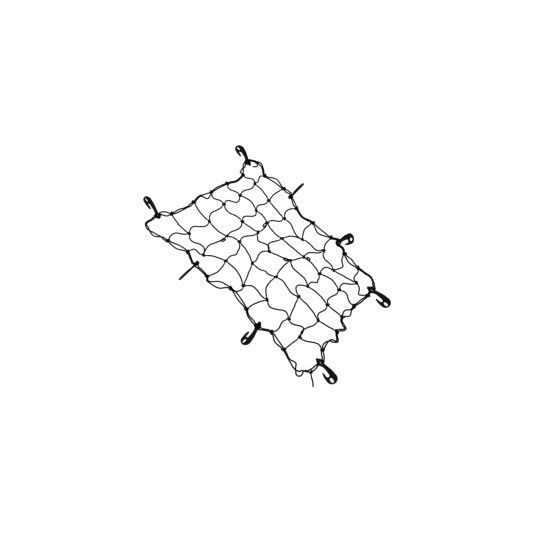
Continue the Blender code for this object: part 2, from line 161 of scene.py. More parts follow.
ELASTIC = Elastic()
GRID = Grid()


# ---------------- tables of the net as it lies


class Way(Enum):
    """The two ways in which the web's strands run."""

    CROSSWISE = 1
    LENGTHWISE = 2


# How far the knots lie from the even grid, each as (along, across). One row for each crosswise strand, from
# the low Y edge to the high, with the two short edges as the first and the last.
KNOT_SHIFT: tuple[tuple[Pair | None, ...], ...] = (
    (None, (-15, -15), (0, 5), (10, 10), (20, 10), (30, 10), None),
    ((-25, -25), (0, -20), (10, -5), (-5, 10), (5, 10), (5, 15), (5, 0)),
    ((-30, -5), (10, -35), (10, 0), (5, 10), (5, 10), (5, 5), (5, 10)),
    ((-5, -15), (-5, 0), (-25, 15), (-10, 20), (-15, 5), (10, -5), (10, -10)),
    ((-5, 10), (15, -15), (-20, -5), (-15, 0), (-20, 0), (25, -15), (5, -10)),
    ((0, 0), (20, 5), (-15, 15), (-25, 25), (-5, 5), (20, 5), (5, -5)),
    ((25, 5), (30, 10), (0, 20), (-5, 5), (-10, 0), (10, -20), (-5, -15)),
    ((10, -5), (15, -5), (15, 10), (0, 5), (-10, 5), (10, 0), (-20, -20)),
    (None, (10, 15), (0, 25), (-20, 10), (-20, 0), (-15, -5), None),
)

# The slack of each strand in each of its cells, as (bow, wave). The bow is how far the stretch stands to the
# left at its middle, and the wave how far its first half stands further to the left than its second.
SLACK: dict[Way, tuple[tuple[Pair, ...], ...]] = {
    Way.CROSSWISE: (
        ((15, 5), (5, 10), (10, 5), (-5, 10), (0, 5), (5, -5)),
        ((10, 5), (10, 5), (-5, 5), (0, 10), (5, 5), (5, 0)),
        ((-10, 0), (-10, 5), (5, 5), (-5, 0), (0, 5), (15, 0)),
        ((-10, -5), (0, 0), (10, -5), (15, 5), (10, 0), (10, 0)),
        ((5, 0), (15, 0), (5, 0), (0, 0), (5, 5), (5, 0)),
        ((0, -5), (0, 0), (25, 0), (-5, 5), (15, 0), (-10, -5)),
        ((0, 0), (5, 5), (5, 5), (5, 5), (10, 5), (5, 5)),
    ),
    Way.LENGTHWISE: (
        ((-5, 0), (5, -10), (5, 0), (10, 0), (10, 5), (0, -10), (15, -10), (5, -5)),
        ((-5, 0), (-5, 0), (5, 0), (5, 0), (-5, 0), (0, 5), (5, 0), (0, 0)),
        ((-5, -5), (-5, -5), (0, 0), (-5, -10), (0, 0), (0, -5), (5, 0), (0, 0)),
        ((-5, -5), (10, 0), (5, 0), (-5, 0), (0, 0), (5, 0), (10, 0), (5, 5)),
        ((5, -5), (5, 0), (0, 0), (0, 5), (-5, 5), (-5, -5), (0, 0), (-10, 5)),
    ),
}


class Curl(NamedTuple):
    """A small loop in a slack stretch: its share of the way, half its length and width, and its side.

    The side is 1 for left or -1 for right.
    """

    share: float
    half_length: float
    half_width: float
    side: int


class Kink(NamedTuple):
    """A sharp bend in a slack stretch: its share of the way, how far it stands to the left, and its reach."""

    share: float
    size: float
    reach: float


# Both are found by (way, number of the strand, number of the cell).
CURLS = {
    (Way.CROSSWISE, 2, 2): Curl(0.86, 8.0, 3.0, -1),
    (Way.CROSSWISE, 3, 4): Curl(0.84, 9.0, 4.2, 1),
    (Way.LENGTHWISE, 3, 5): Curl(0.86, 7.5, 2.9, -1),
    (Way.LENGTHWISE, 4, 6): Curl(0.08, 6.0, 3.8, 1),
}
KINKS = {
    (Way.CROSSWISE, 1, 4): Kink(0.6, -5.0, 14.0),
    (Way.LENGTHWISE, 2, 5): Kink(0.55, 5.0, 14.0),
    (Way.LENGTHWISE, 3, 4): Kink(0.2, 4.0, 10.0),
    (Way.CROSSWISE, 3, 2): Kink(0.45, -7.0, 12.0),
    (Way.CROSSWISE, 4, 1): Kink(0.78, -12.0, 16.0),
    (Way.CROSSWISE, 6, 4): Kink(0.5, -8.0, 9.0),
    (Way.CROSSWISE, 6, 6): Kink(0.4, -5.0, 14.0),
    (Way.LENGTHWISE, 5, 8): Kink(0.62, -7.0, 10.0),
}

# The border cord's free end beyond its own knot, and the cut end of the web's cord at one corner.
TIE_TAIL = ((342, -177), (354, -184), (365, -193))
WEB_TAIL = ((-266, 185), (-264, 181), (-267, 176), (-273, 171))
WEB_TAIL_KNOT = (-273, 193)


# ---------------- plain geometry


def level(direction: Vector) -> Vector:
    """The level unit vector along a direction."""
    return Vector((direction.x, direction.y, 0.0)).normalized()


def left_of(direction: Vector) -> Vector:
    """The level unit vector to the left of a direction."""
    return Vector((-direction.y, direction.x, 0.0)).normalized()


def ease(share: float) -> float:
    """Runs from 0 to 1 with level ends."""
    return 0.5 - 0.5 * math.cos(math.pi * min(max(share, 0.0), 1.0))


def curve_tangents(points: Sequence[Vector], closed: bool) -> list[Vector]:
    """The direction of a smooth curve at each of its points.

    Args:
        points: what the curve passes through.
        closed: whether it comes back to its first point.

    Returns:
        A unit vector for each point.
    """
    count = len(points)
    tangents = []
    for i, point in enumerate(points):
        before = points[i - 1] if closed or i else point
        after = points[(i + 1) % count] if closed or i < count - 1 else point
        tangents.append((after - before).normalized())
    return tangents


def curve_stretch(start: Vector, end: Vector, tangents: Sequence[Vector], steps: int) -> list[Vector]:
    """Points of a smooth stretch between two points, without its last.

    Args:
        start: its first point.
        end: its last point.
        tangents: the curve's directions at the two.
        steps: how many points are read.

    Returns:
        That many points.
    """
    reach = (end - start).length / 3
    handle_1 = start + tangents[0] * reach
    handle_2 = end - tangents[1] * reach
    return interpolate_bezier(start, handle_1, handle_2, end, steps + 1)[:-1]


@dataclass
class CordRoute:
    """The centreline of a cord, in millimetres, with its radius at each point.

    Attributes:
        closed: whether the cord is a loop.
        points: of the centreline.
        radii: one for each point.
    """

    closed: bool = False
    points: list[Vector] = field(default_factory=list)
    radii: list[float] = field(default_factory=list)

    def add(self, points: Sequence[Vector], radii: float | Sequence[float]) -> None:
        """Appends points to the centreline, with one radius for them all or one for each."""
        self.points += [point.copy() for point in points]
        self.radii += [radii] * len(points) if isinstance(radii, (int, float)) else list(radii)

    def smoothed(self) -> "CordRoute":
        """The same route with its rings at an even pace, on a smooth curve through its points."""
        tangents = curve_tangents(self.points, self.closed)
        count = len(self.points)
        made = CordRoute(self.closed)
        for i in range(count if self.closed else count - 1):
            after = (i + 1) % count
            start, end = self.points[i], self.points[after]
            steps = max(1, round((end - start).length / ELASTIC.ring_pace))
            ends = (tangents[i], tangents[after])
            shares = [step / steps for step in range(steps)]
            radii = [self.radii[i] + (self.radii[after] - self.radii[i]) * share for share in shares]
            made.add(curve_stretch(start, end, ends, steps), radii)
        if not self.closed:
            made.add([self.points[-1]], self.radii[-1])
        return made

    def rested(self) -> "CordRoute":
        """Lifts every point that would sink into the surface, and returns the route."""
        for point, radius in zip(self.points, self.radii):
            point.z = max(point.z, radius + ELASTIC.lift)
        return self

    def nearest(self, place: Vector) -> int:
        """The number of the point that lies nearest to a place."""
        return min(range(len(self.points)), key=lambda i: (self.points[i] - place).length)

    def level_way(self, number: int) -> Vector:
        """The level way of a closed route at one of its points."""
        return level(self.points[(number + 1) % len(self.points)] - self.points[number - 1])

    def lengths(self) -> list[float]:
        """How far along the cord each point lies, and at the end the whole length."""
        done = [0.0]
        for i in range(1, len(self.points) + 1):
            done.append(done[-1] + (self.points[i % len(self.points)] - self.points[i - 1]).length)
        return done


# The rings of a sealed end, as (along the cord from its end, share of its radius).
SEALED_END = ((-0.8, 1.0), (-0.35, 1.12), (0.1, 1.05), (0.4, 0.7), (0.5, 0.3))


def with_sealed_end(route: CordRoute) -> CordRoute:
    """Ends an open cord in a cut that heat has sealed into a small rounded bead.

    Args:
        route: the cord, which ends where it is cut.

    Returns:
        The same route with the bead's rings in place of its last point.
    """
    end, radius = route.points.pop(), route.radii.pop()
    ahead = (end - route.points[-1]).normalized()
    for along, share in SEALED_END:
        route.add([end + ahead * along], radius * share)
    return route


# ---------------- shader nodes

Value = float | NodeSocket


@dataclass(frozen=True)
class NodePad:
    """Places nodes in a shader tree and links them.

    Attributes:
        tree: a material's or a group's.
    """

    tree: NodeTree

    def add(self, kind: str, inputs: dict | None = None, **settings: object) -> Node:
        """Places a node.

        Args:
            kind: its type's name.
            inputs: what feeds its sockets, by the socket's name or number.
            settings: its own properties.

        Returns:
            The node.
        """
        node = self.tree.nodes.new(kind)
        for name, value in settings.items():
            setattr(node, name, value)
        for name, value in (inputs or {}).items():
            self.feed(value, node.inputs[name])
        return node

    def feed(self, value: object, socket: NodeSocket) -> None:
        """Links a socket to another, or gives it a value.

        Args:
            value: the socket or the value that it gets.
            socket: a node's input.
        """
        if isinstance(value, NodeSocket):
            self.tree.links.new(value, socket)
        else:
            socket.default_value = value

    def math(self, operation: str, *values: Value) -> NodeSocket:
        """Works out a number from up to three, by one of the Math node's operations."""
        return self.add("ShaderNodeMath", dict(enumerate(values)), operation=operation).outputs[0]

    def ranged(self, value: Value, low: float, high: float, start: float, end: float) -> NodeSocket:
        """Maps low to start and high to end, with what lies outside kept at them."""
        inputs = {"Value": value, "From Min": low, "From Max": high, "To Min": start, "To Max": end}
        return self.add("ShaderNodeMapRange", inputs).outputs["Result"]

    def blend(self, share: Value, first: object, second: object) -> NodeSocket:
        """Mixes two colours by a share from 0 to 1."""
        inputs = {"Factor": share, 6: first, 7: second}
        return self.add("ShaderNodeMix", inputs, data_type="RGBA").outputs[2]

    def noise(self, vector: NodeSocket, scale: Value, detail: float = 2.0) -> NodeSocket:
        """A smooth noise from 0 to 1, with so many lumps in a metre and so many finer layers."""
        inputs = {"Vector": vector, "Scale": scale, "Detail": detail}
        return self.add("ShaderNodeTexNoise", inputs).outputs["Fac"]


class GroupSocket(NamedTuple):
    """A socket of a shader node group."""

    name: str
    kind: str
    value: float | None = None


VECTOR_SOCKET = "NodeSocketVector"
NUMBER_SOCKET = "NodeSocketFloat"


@dataclass(frozen=True)
class Effect:
    """An effect that several materials use, as a shader node group that is built once.

    Attributes:
        name: of the group.
        inputs: its sockets.
        outputs: its sockets.
        fill: places the nodes between them, given the pad, the group's inputs and its outputs.
    """

    name: str
    inputs: tuple[GroupSocket, ...]
    outputs: tuple[GroupSocket, ...]
    fill: Callable[[NodePad, NodeOutputs, NodeInputs], None]

    def group(self) -> NodeTree:
        """The group, made the first time that it is asked for."""
        made = bpy.data.node_groups.get(self.name)
        if made:
            return made
        made = bpy.data.node_groups.new(self.name, "ShaderNodeTree")
        for sockets, direction in ((self.inputs, "INPUT"), (self.outputs, "OUTPUT")):
            for wanted in sockets:
                socket = made.interface.new_socket(wanted.name, in_out=direction, socket_type=wanted.kind)
                if wanted.value is not None:
                    socket.default_value = wanted.value
        pad = NodePad(made)
        start = pad.add("NodeGroupInput")
        end = pad.add("NodeGroupOutput")
        self.fill(pad, start.outputs, end.inputs)
        return made

    def placed(self, pad: NodePad, **inputs: object) -> NodeOutputs:
        """Places the group in a material.

        Args:
            pad: the material's.
            inputs: what feeds its sockets, by their names with _ for a space.

        Returns:
            The group's outputs.
        """
        node = pad.add("ShaderNodeGroup", node_tree=self.group())
        for name, value in inputs.items():
            pad.feed(value, node.inputs[name.replace("_", " ")])
        return node.outputs


def fill_braid(pad: NodePad, given: NodeOutputs, wanted: NodeInputs) -> None:
    """The braided sleeve of a cord: yarns that wind both ways and pass over and under each other.

    Args:
        pad: the group's.
        given: the group's inputs.
        wanted: its outputs.
    """
    place = pad.add("ShaderNodeSeparateXYZ", {0: given["Surface"]})
    along = pad.math("DIVIDE", place.outputs["X"], given["Pitch"])
    turns = [pad.math(side, along, place.outputs["Y"]) for side in ("ADD", "SUBTRACT")]
    yarns = [pad.math("MULTIPLY", turn, given["Yarns"]) for turn in turns]
    numbers = [pad.math("FLOOR", yarn) for yarn in yarns]
    across = [pad.math("FRACT", yarn) for yarn in yarns]
    rounds = [pad.math("SINE", pad.math("MULTIPLY", share, math.pi)) for share in across]
    flats = [pad.math("POWER", rise, 0.4) for rise in rounds]
    over = pad.math("PINGPONG", pad.math("ADD", *numbers), 1.0)
    heights = [pad.math("MULTIPLY", rounds[0], flats[1]), pad.math("MULTIPLY", rounds[1], flats[0])]
    first = pad.math("MULTIPLY", heights[0], pad.math("SUBTRACT", 1.0, over))
    pad.feed(pad.math("MULTIPLY_ADD", heights[1], over, first), wanted["Height"])
    shades = []
    for number in numbers:
        wrapped = pad.math("FLOORED_MODULO", number, given["Yarns"])
        shades.append(pad.add("ShaderNodeTexWhiteNoise", {"W": wrapped}, noise_dimensions="1D").outputs[0])
    pad.feed(pad.math("MULTIPLY", pad.math("ADD", *shades), 0.5), wanted["Yarn tone"])


def fill_lint(pad: NodePad, given: NodeOutputs, wanted: NodeInputs) -> None:
    """Dust and lint that settles in patches, mostly on what faces up.

    Args:
        pad: the group's.
        given: the group's inputs.
        wanted: its outputs.
    """
    patches = pad.ranged(pad.noise(given["Place"], given["Patches"], 3.0), 0.45, 0.75, 0.0, 1.0)
    specks = pad.ranged(pad.noise(given["Place"], given["Specks"], 1.0), 0.55, 0.8, 0.0, 1.0)
    facing = pad.add("ShaderNodeSeparateXYZ", {0: pad.add("ShaderNodeNewGeometry").outputs["Normal"]})
    upward = pad.ranged(facing.outputs["Z"], -0.2, 0.9, 0.25, 1.0)
    settled = pad.math("MULTIPLY", pad.math("MULTIPLY_ADD", patches, 0.5, specks), upward)
    pad.feed(settled, wanted["Lint"])


BRAID = Effect(
    "braided_sleeve",
    (
        GroupSocket("Surface", VECTOR_SOCKET),
        GroupSocket("Pitch", NUMBER_SOCKET, 0.009),
        GroupSocket("Yarns", NUMBER_SOCKET, 8.0),
    ),
    (GroupSocket("Height", NUMBER_SOCKET), GroupSocket("Yarn tone", NUMBER_SOCKET)),
    fill_braid,
)
LINT = Effect(
    "settled_lint",
    (
        GroupSocket("Place", VECTOR_SOCKET),
        GroupSocket("Patches", NUMBER_SOCKET, 30.0),
        GroupSocket("Specks", NUMBER_SOCKET, 1500.0),
    ),
    (GroupSocket("Lint", NUMBER_SOCKET),),
    fill_lint,
)

Looks = tuple[NodeSocket, NodeSocket, NodeSocket]


@dataclass(frozen=True)
class Finish:
    """What the finishes share: one shader, which is given a colour, a roughness and a relief.

    Attributes:
        name: of the material.
        specular: how strongly it reflects.
        relief: how strong its relief is, and how deep in metres.
        lint: the colour of what settles on it.
        lint_share: how much of that colour shows at most.
    """

    name: str
    specular: float
    relief: Pair
    lint: Colour = (0.16, 0.155, 0.145, 1)
    lint_share: float = 0.0

    def material(self) -> Material:
        """Makes the material."""
        made = bpy.data.materials.new(self.name)
        made.use_nodes = True
        pad = NodePad(made.node_tree)
        colour, roughness, height = self.looks(pad, pad.add("ShaderNodeTexCoord").outputs["Object"])
        strength, depth = self.relief
        bump = pad.add("ShaderNodeBump", {"Height": height, "Strength": strength, "Distance": depth})
        shader = made.node_tree.nodes["Principled BSDF"]
        pad.feed(colour, shader.inputs["Base Color"])
        pad.feed(roughness, shader.inputs["Roughness"])
        pad.feed(bump.outputs["Normal"], shader.inputs["Normal"])
        shader.inputs["Specular IOR Level"].default_value = self.specular
        return made

    def dusted(self, pad: NodePad, place: NodeSocket, colour: object, **lint: float) -> object:
        """A colour with lint on it, given values for the lint's sockets."""
        settled = LINT.placed(pad, Place=place, **lint)["Lint"]
        return pad.blend(pad.math("MULTIPLY", settled, self.lint_share), colour, self.lint)

    def looks(self, pad: NodePad, place: NodeSocket) -> Looks:
        """Places the finish's own nodes, and gives its colour, its roughness and its relief's height."""
        raise NotImplementedError


@dataclass(frozen=True)
class BraidedElastic(Finish):
    """The finish of the elastic cord: a matt braided sleeve, with painted shade in the grooves between its
    yarns.

    Attributes:
        yarn: the colour of its yarns.
        pale_yarn: the colour of its palest yarns.
        roughness: of the yarns.
        pitch: the length of a yarn's turn round the cord, in metres.
    """

    name: str = "black_braided_elastic"
    specular: float = 0.15
    relief: Pair = (0.7, 0.0003)
    lint_share: float = 0.08
    yarn: Colour = (0.009, 0.009, 0.0094, 1)
    pale_yarn: Colour = (0.034, 0.034, 0.0345, 1)
    roughness: float = 0.78
    pitch: float = 0.009

    def looks(self, pad: NodePad, place: NodeSocket) -> Looks:
        """Places the braid and the lint on it, with painted shade in the grooves between the yarns.

        Args:
            pad: the material's.
            place: the object's own coordinates.

        Returns:
            Its colour, its roughness and the height of its relief.
        """
        surface = pad.add("ShaderNodeUVMap", uv_map=CordPiece.SURFACE_MAP).outputs["UV"]
        braid = BRAID.placed(pad, Surface=surface, Pitch=self.pitch)
        fibres = pad.noise(place, 9000.0, 1.0)
        tone = pad.math("MULTIPLY_ADD", braid["Yarn tone"], 0.7, pad.math("MULTIPLY", fibres, 0.3))
        # Painted shade: the yarns' random tone is darkened where the braid's height is low, in the grooves
        # between the yarns.
        yarn_tone_with_groove_shade = pad.math("MULTIPLY", tone, pad.ranged(braid["Height"], 0.0, 0.6, 0.15, 1.0))
        colour = self.dusted(pad, place, pad.blend(yarn_tone_with_groove_shade, self.yarn, self.pale_yarn))
        rough = pad.ranged(tone, 0.0, 1.0, self.roughness - 0.08, self.roughness + 0.12)
        return colour, rough, pad.math("MULTIPLY_ADD", fibres, 0.25, braid["Height"])


@dataclass(frozen=True)
class SealedElastic(Finish):
    """The finish of a cut end: yarns that heat has melted into a dark glossy bead.

    Attributes:
        colour: of the melted yarns.
        raised_lump_colour: the colour of its paler lumps.
    """

    name: str = "heat_sealed_cord_end"
    specular: float = 0.25
    relief: Pair = (0.6, 0.0004)
    colour: Colour = (0.018, 0.0165, 0.015, 1)
    raised_lump_colour: Colour = (0.07, 0.064, 0.056, 1)

    def looks(self, pad: NodePad, place: NodeSocket) -> Looks:
        """Places the bead's lumps, with a colour that is paler where they stand up.

        Args:
            pad: the material's.
            place: the object's own coordinates.

        Returns:
            Its colour, its roughness and the height of its relief.
        """
        lumps = pad.noise(place, 1800.0, 3.0)
        # The bead is paler where the lumps of its relief stand up, and darker in the hollows between them.
        colour = pad.blend(pad.ranged(lumps, 0.4, 0.8, 0.0, 0.6), self.colour, self.raised_lump_colour)
        return colour, pad.ranged(lumps, 0.3, 0.7, 0.28, 0.5), lumps


@dataclass(frozen=True)
class MouldedPlastic(Finish):
    """The finish of the hooks: black moulded plastic with a fine grain and rubbed rims.

    Attributes:
        body: its colour.
        streak: the colour of its faint flow marks.
        rubbed: the colour where its rims are worn.
        roughness: of the moulded face.
    """

    name: str = "black_moulded_plastic"
    specular: float = 0.25
    relief: Pair = (0.35, 0.00012)
    lint: Colour = (0.16, 0.152, 0.136, 1)
    lint_share: float = 0.06
    body: Colour = (0.0165, 0.0147, 0.0108, 1)
    streak: Colour = (0.0235, 0.0205, 0.015, 1)
    rubbed: Colour = (0.06, 0.054, 0.043, 1)
    roughness: float = 0.42

    def looks(self, pad: NodePad, place: NodeSocket) -> Looks:
        """Places the flow marks, the worn rims, the lint and the grain.

        Args:
            pad: the material's.
            place: the object's own coordinates.

        Returns:
            Its colour, its roughness and the height of its relief.
        """
        rim = pad.add("ShaderNodeAttribute", attribute_name=MouldedHook.RIM).outputs["Fac"]
        flow = pad.ranged(pad.noise(place, 55.0, 3.0), 0.35, 0.7, 0.0, 1.0)
        chips = pad.ranged(pad.noise(place, 420.0, 4.0), 0.42, 0.62, 0.0, 1.0)
        worn = pad.math("MULTIPLY", pad.math("MULTIPLY", rim, chips), 0.7)
        rubbed = pad.blend(worn, pad.blend(flow, self.body, self.streak), self.rubbed)
        smears = pad.noise(place, 90.0, 4.0)
        rough = pad.math("MULTIPLY_ADD", smears, 0.22, self.roughness - 0.1)
        grain = pad.math("MULTIPLY_ADD", smears, 2.0, pad.noise(place, 2600.0, 2.0))
        colour = self.dusted(pad, place, rubbed, Specks=900.0)
        return colour, pad.math("MULTIPLY_ADD", worn, 0.15, rough), grain


# ---------------- pieces of cord


def placed(name: str, data: ID) -> Object:
    """Puts an object in the scene.

    Args:
        name: its name.
        data: its mesh, curve, light or camera.

    Returns:
        The object.
    """
    made = bpy.data.objects.new(name, data)
    bpy.context.scene.collection.objects.link(made)
    return made


def as_piece(mesh: Mesh, node: str, slot: Slot) -> Object:
    """Makes a visible piece, named as its mesh, that stands for a solid and rides on the object.

    Args:
        mesh: its mesh.
        node: the solid's name.
        slot: a slot for its material; not used.

    Returns:
        The piece.
    """
    made = placed(mesh.name, mesh)
    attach(made, "root")
    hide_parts(node)
    return made


@dataclass
class CordPiece:
    """A piece of the object that is made of one or more stretches of cord.

    Attributes:
        name: of the piece.
        node: the solid that it stands for.
        routes: its stretches of cord.
        finishes: the materials of the cord and of its cut ends.
    """

    name: str
    node: str
    routes: list[CordRoute]
    finishes: tuple[Material, Material]

    SURFACE_MAP = "along_the_cord"
    END_LENGTH = 1.3

    def build(self) -> Object:
        """Makes the cords as one mesh of closed round tubes, dressed and riding on the object."""
        mesh = self.tubes()
        self.dress_surface(mesh)
        return as_piece(mesh, self.node, Slot.CORD)

    def tubes(self) -> Mesh:
        """A mesh of open tubes along the routes, ring by ring."""
        curve = bpy.data.curves.new(self.name, "CURVE")
        curve.dimensions = "3D"
        curve.twist_mode = "MINIMUM"
        curve.bevel_depth = MM
        curve.bevel_resolution = ELASTIC.sides // 2 - 2
        for route in self.routes:
            spline = curve.splines.new("POLY")
            spline.points.add(len(route.points) - 1)
            for target, point, radius in zip(spline.points, route.points, route.radii):
                target.co = (*(point * MM), 1)
                target.radius = radius
            spline.use_cyclic_u = route.closed
            spline.use_smooth = True
        guide = placed(self.name + "_line", curve)
        graph = bpy.context.evaluated_depsgraph_get()
        mesh = bpy.data.meshes.new_from_object(guide.evaluated_get(graph))
        bpy.data.objects.remove(guide)
        bpy.data.curves.remove(curve)
        mesh.name = self.name
        return mesh

    def dress_surface(self, mesh: Mesh) -> None:
        """Closes the tubes, measures the surface map along them in metres and marks the cut ends.

        Args:
            mesh: the tubes, whose map runs along each by its rings and once round it.
        """
        work = bmesh.new()
        work.from_mesh(mesh)
        work.verts.ensure_lookup_table()
        old = work.loops.layers.uv[0]
        ring_of = []
        for route in self.routes:
            lengths = route.lengths()
            for ring in range(len(route.points)):
                ring_of += [(route, ring, lengths)] * ELASTIC.sides
        for face in work.faces:
            for loop in face.loops:
                route, ring, lengths = ring_of[loop.vert.index]
                if route.closed and ring == 0 and loop[old].uv.x > 0.5:
                    ring = len(route.points)
                loop[old].uv = (lengths[ring] * MM, loop[old].uv.y)
                from_end = lengths[len(route.points) - 1] - lengths[min(ring, len(route.points) - 1)]
                if not route.closed and from_end < self.END_LENGTH:
                    face.material_index = 1
        open_rims = [edge for edge in work.edges if edge.is_boundary]
        filled = bmesh.ops.holes_fill(work, edges=open_rims, sides=0)
        for face in filled["faces"]:
            face.material_index = 1
            face.smooth = True
        bmesh.ops.recalc_face_normals(work, faces=work.faces)
        work.to_mesh(mesh)
        work.free()
        mesh.uv_layers[0].name = self.SURFACE_MAP
        mesh.materials.clear()
        for finish in self.finishes:
            mesh.materials.append(finish)


@dataclass(frozen=True)
class KnotFrame:
    """A knot's own axes.

    Attributes:
        centre: its middle.
        core: the level way of the cords that it grips.
        travel: the level way in which the knotted cord passes over them.
    """

    centre: Vector
    core: Vector
    travel: Vector

    def point(self, along: float, across: float, height: float) -> Vector:
        """A point given along the core, along the travel and upwards from the middle."""
        return self.centre + self.core * along + self.travel * across + UP * height


class HitchKey(NamedTuple):
    """A place on a hitch: how far the cord has turned, and how far along the core, in its own radii."""

    turned: float
    along: float


# The keys of a clove hitch: how far the cord has turned, in degrees, and where it lies along the core.
HITCH_TURNS = (30, 90, 180, 270, 360, 450, 540, 630, 720, 810, 850)
HITCH_PLACES = (-1.0, -1.0, -1.5, -2.3, -2.9, 0.0, 2.9, 2.3, 1.5, 1.0, 1.0)


@dataclass(frozen=True)
class Hitch:
    """A clove hitch: two turns side by side, held by the cord's own slanting pass over them.

    Attributes:
        core: radius of what it grips.
        wound: radius of the cord that is wound.
        half_flat: half the distance between two cords that it grips side by side.
        keys: its run, from where the cord reaches it to where it leaves.
        step: the turn between its rings.
        slant: the turns between which the cord passes over the others.
    """

    core: float = ELASTIC.gripped
    wound: float = ELASTIC.wound
    half_flat: float = 0.0
    keys: tuple[HitchKey, ...] = tuple(map(HitchKey, HITCH_TURNS, HITCH_PLACES))
    step: float = 20.0
    slant: Pair = (360.0, 540.0)

    def run(self, frame_of: KnotFrame, side: int) -> list[Vector]:
        """The wound cord's centreline.

        Args:
            frame_of: the knot's axes.
            side: 1, or -1 for its mirror image.

        Returns:
            Points from where the cord reaches the core to where it leaves it.
        """
        points = []
        for before, after in zip(self.keys, self.keys[1:]):
            count = max(1, round((after.turned - before.turned) / self.step))
            for i in range(count):
                share = i / count
                turned = before.turned + (after.turned - before.turned) * share
                points.append(self.point(frame_of, side, turned, self.along(before, after, share)))
        last = self.keys[-1]
        return [*points, self.point(frame_of, side, last.turned, last.along * self.wound)]

    def along(self, before: HitchKey, after: HitchKey, share: float) -> float:
        """Where the cord lies along the core between two keys, in millimetres.

        Args:
            before: the key that it has passed.
            after: the key that it comes to.
            share: of the way between them.

        Returns:
            Its place along the core.
        """
        straight = self.slant[0] <= before.turned < self.slant[1]
        eased = share if straight else ease(share)
        return (before.along + (after.along - before.along) * eased) * self.wound

    def point(self, frame_of: KnotFrame, side: int, turned: float, along: float) -> Vector:
        """A point of the wound cord's centreline.

        Args:
            frame_of: the knot's axes.
            side: 1, or -1 for its mirror image.
            turned: how far it has turned, in degrees.
            along: its place along the core.

        Returns:
            The point.
        """
        reach = self.core + self.wound
        if self.slant[0] < turned < self.slant[1]:
            beside = min(abs(along - self.wound), abs(along + self.wound))
            reach += math.sqrt(max(0.0, (2 * self.wound) ** 2 - beside**2))
        across, height = -math.cos(math.radians(turned)), math.sin(math.radians(turned))
        flat = self.half_flat * max(-1.0, min(1.0, across * 2))
        return frame_of.point(side * along, across * reach + flat, height * reach)


# ---------------- hooks


class Spot(NamedTuple):
    """A hook's place on the net, in millimetres and degrees.

    "along" and "across" place the cords in its eye. "heading" is the way it points, seen from above.
    "lean" turns it about its own length, with its point up, and "raised" tips its far end up from where it
    rests. "point" says on which side of the heading its point lies: 1 is left, -1 right.
    """

    along: float
    across: float
    heading: float
    lean: float
    raised: float
    point: int


HOOKS = {
    "hook_corner_1": Spot(-338, -167, 174, 42, 20, 1),
    "hook_side_1": Spot(-130, -192, -82, 71, 0, 1),
    "hook_side_2": Spot(136, -187, -80, -25, 0, -1),
    "hook_corner_2": Spot(332, -133, -8, 0, 0, -1),
    "hook_corner_3": Spot(282, 130, 2, 0, 0, -1),
    "hook_side_3": Spot(110, 169, 28, -39, 58, -1),
    "hook_side_4": Spot(-103, 178, 56, 52, 63, -1),
    "hook_corner_4": Spot(-297, 170, 166, 20, 0, 1),
}

# How the pair of cords threads a flat hook's eye, as (across the hook, above the eye's middle).
EYE_ROUTE = ((-8.5, -4.9), (-3.6, -4.6), (0.0, 0.0), (3.6, 4.6), (8.5, 4.9))


def arc(centre: Vector, radii: Pair, start: float, end: float, steps: int) -> list[Vector]:
    """Points along an arc or a piece of an ellipse.

    Args:
        centre: of the arc.
        radii: along X and along Y.
        start: the angle of its first point, in degrees.
        end: the angle of its last.
        steps: between the two.

    Returns:
        One point more than the steps.
    """
    points = []
    for i in range(steps + 1):
        angle = math.radians(start + (end - start) * i / steps)
        points.append(centre + Vector((math.cos(angle) * radii[0], math.sin(angle) * radii[1])))
    return points


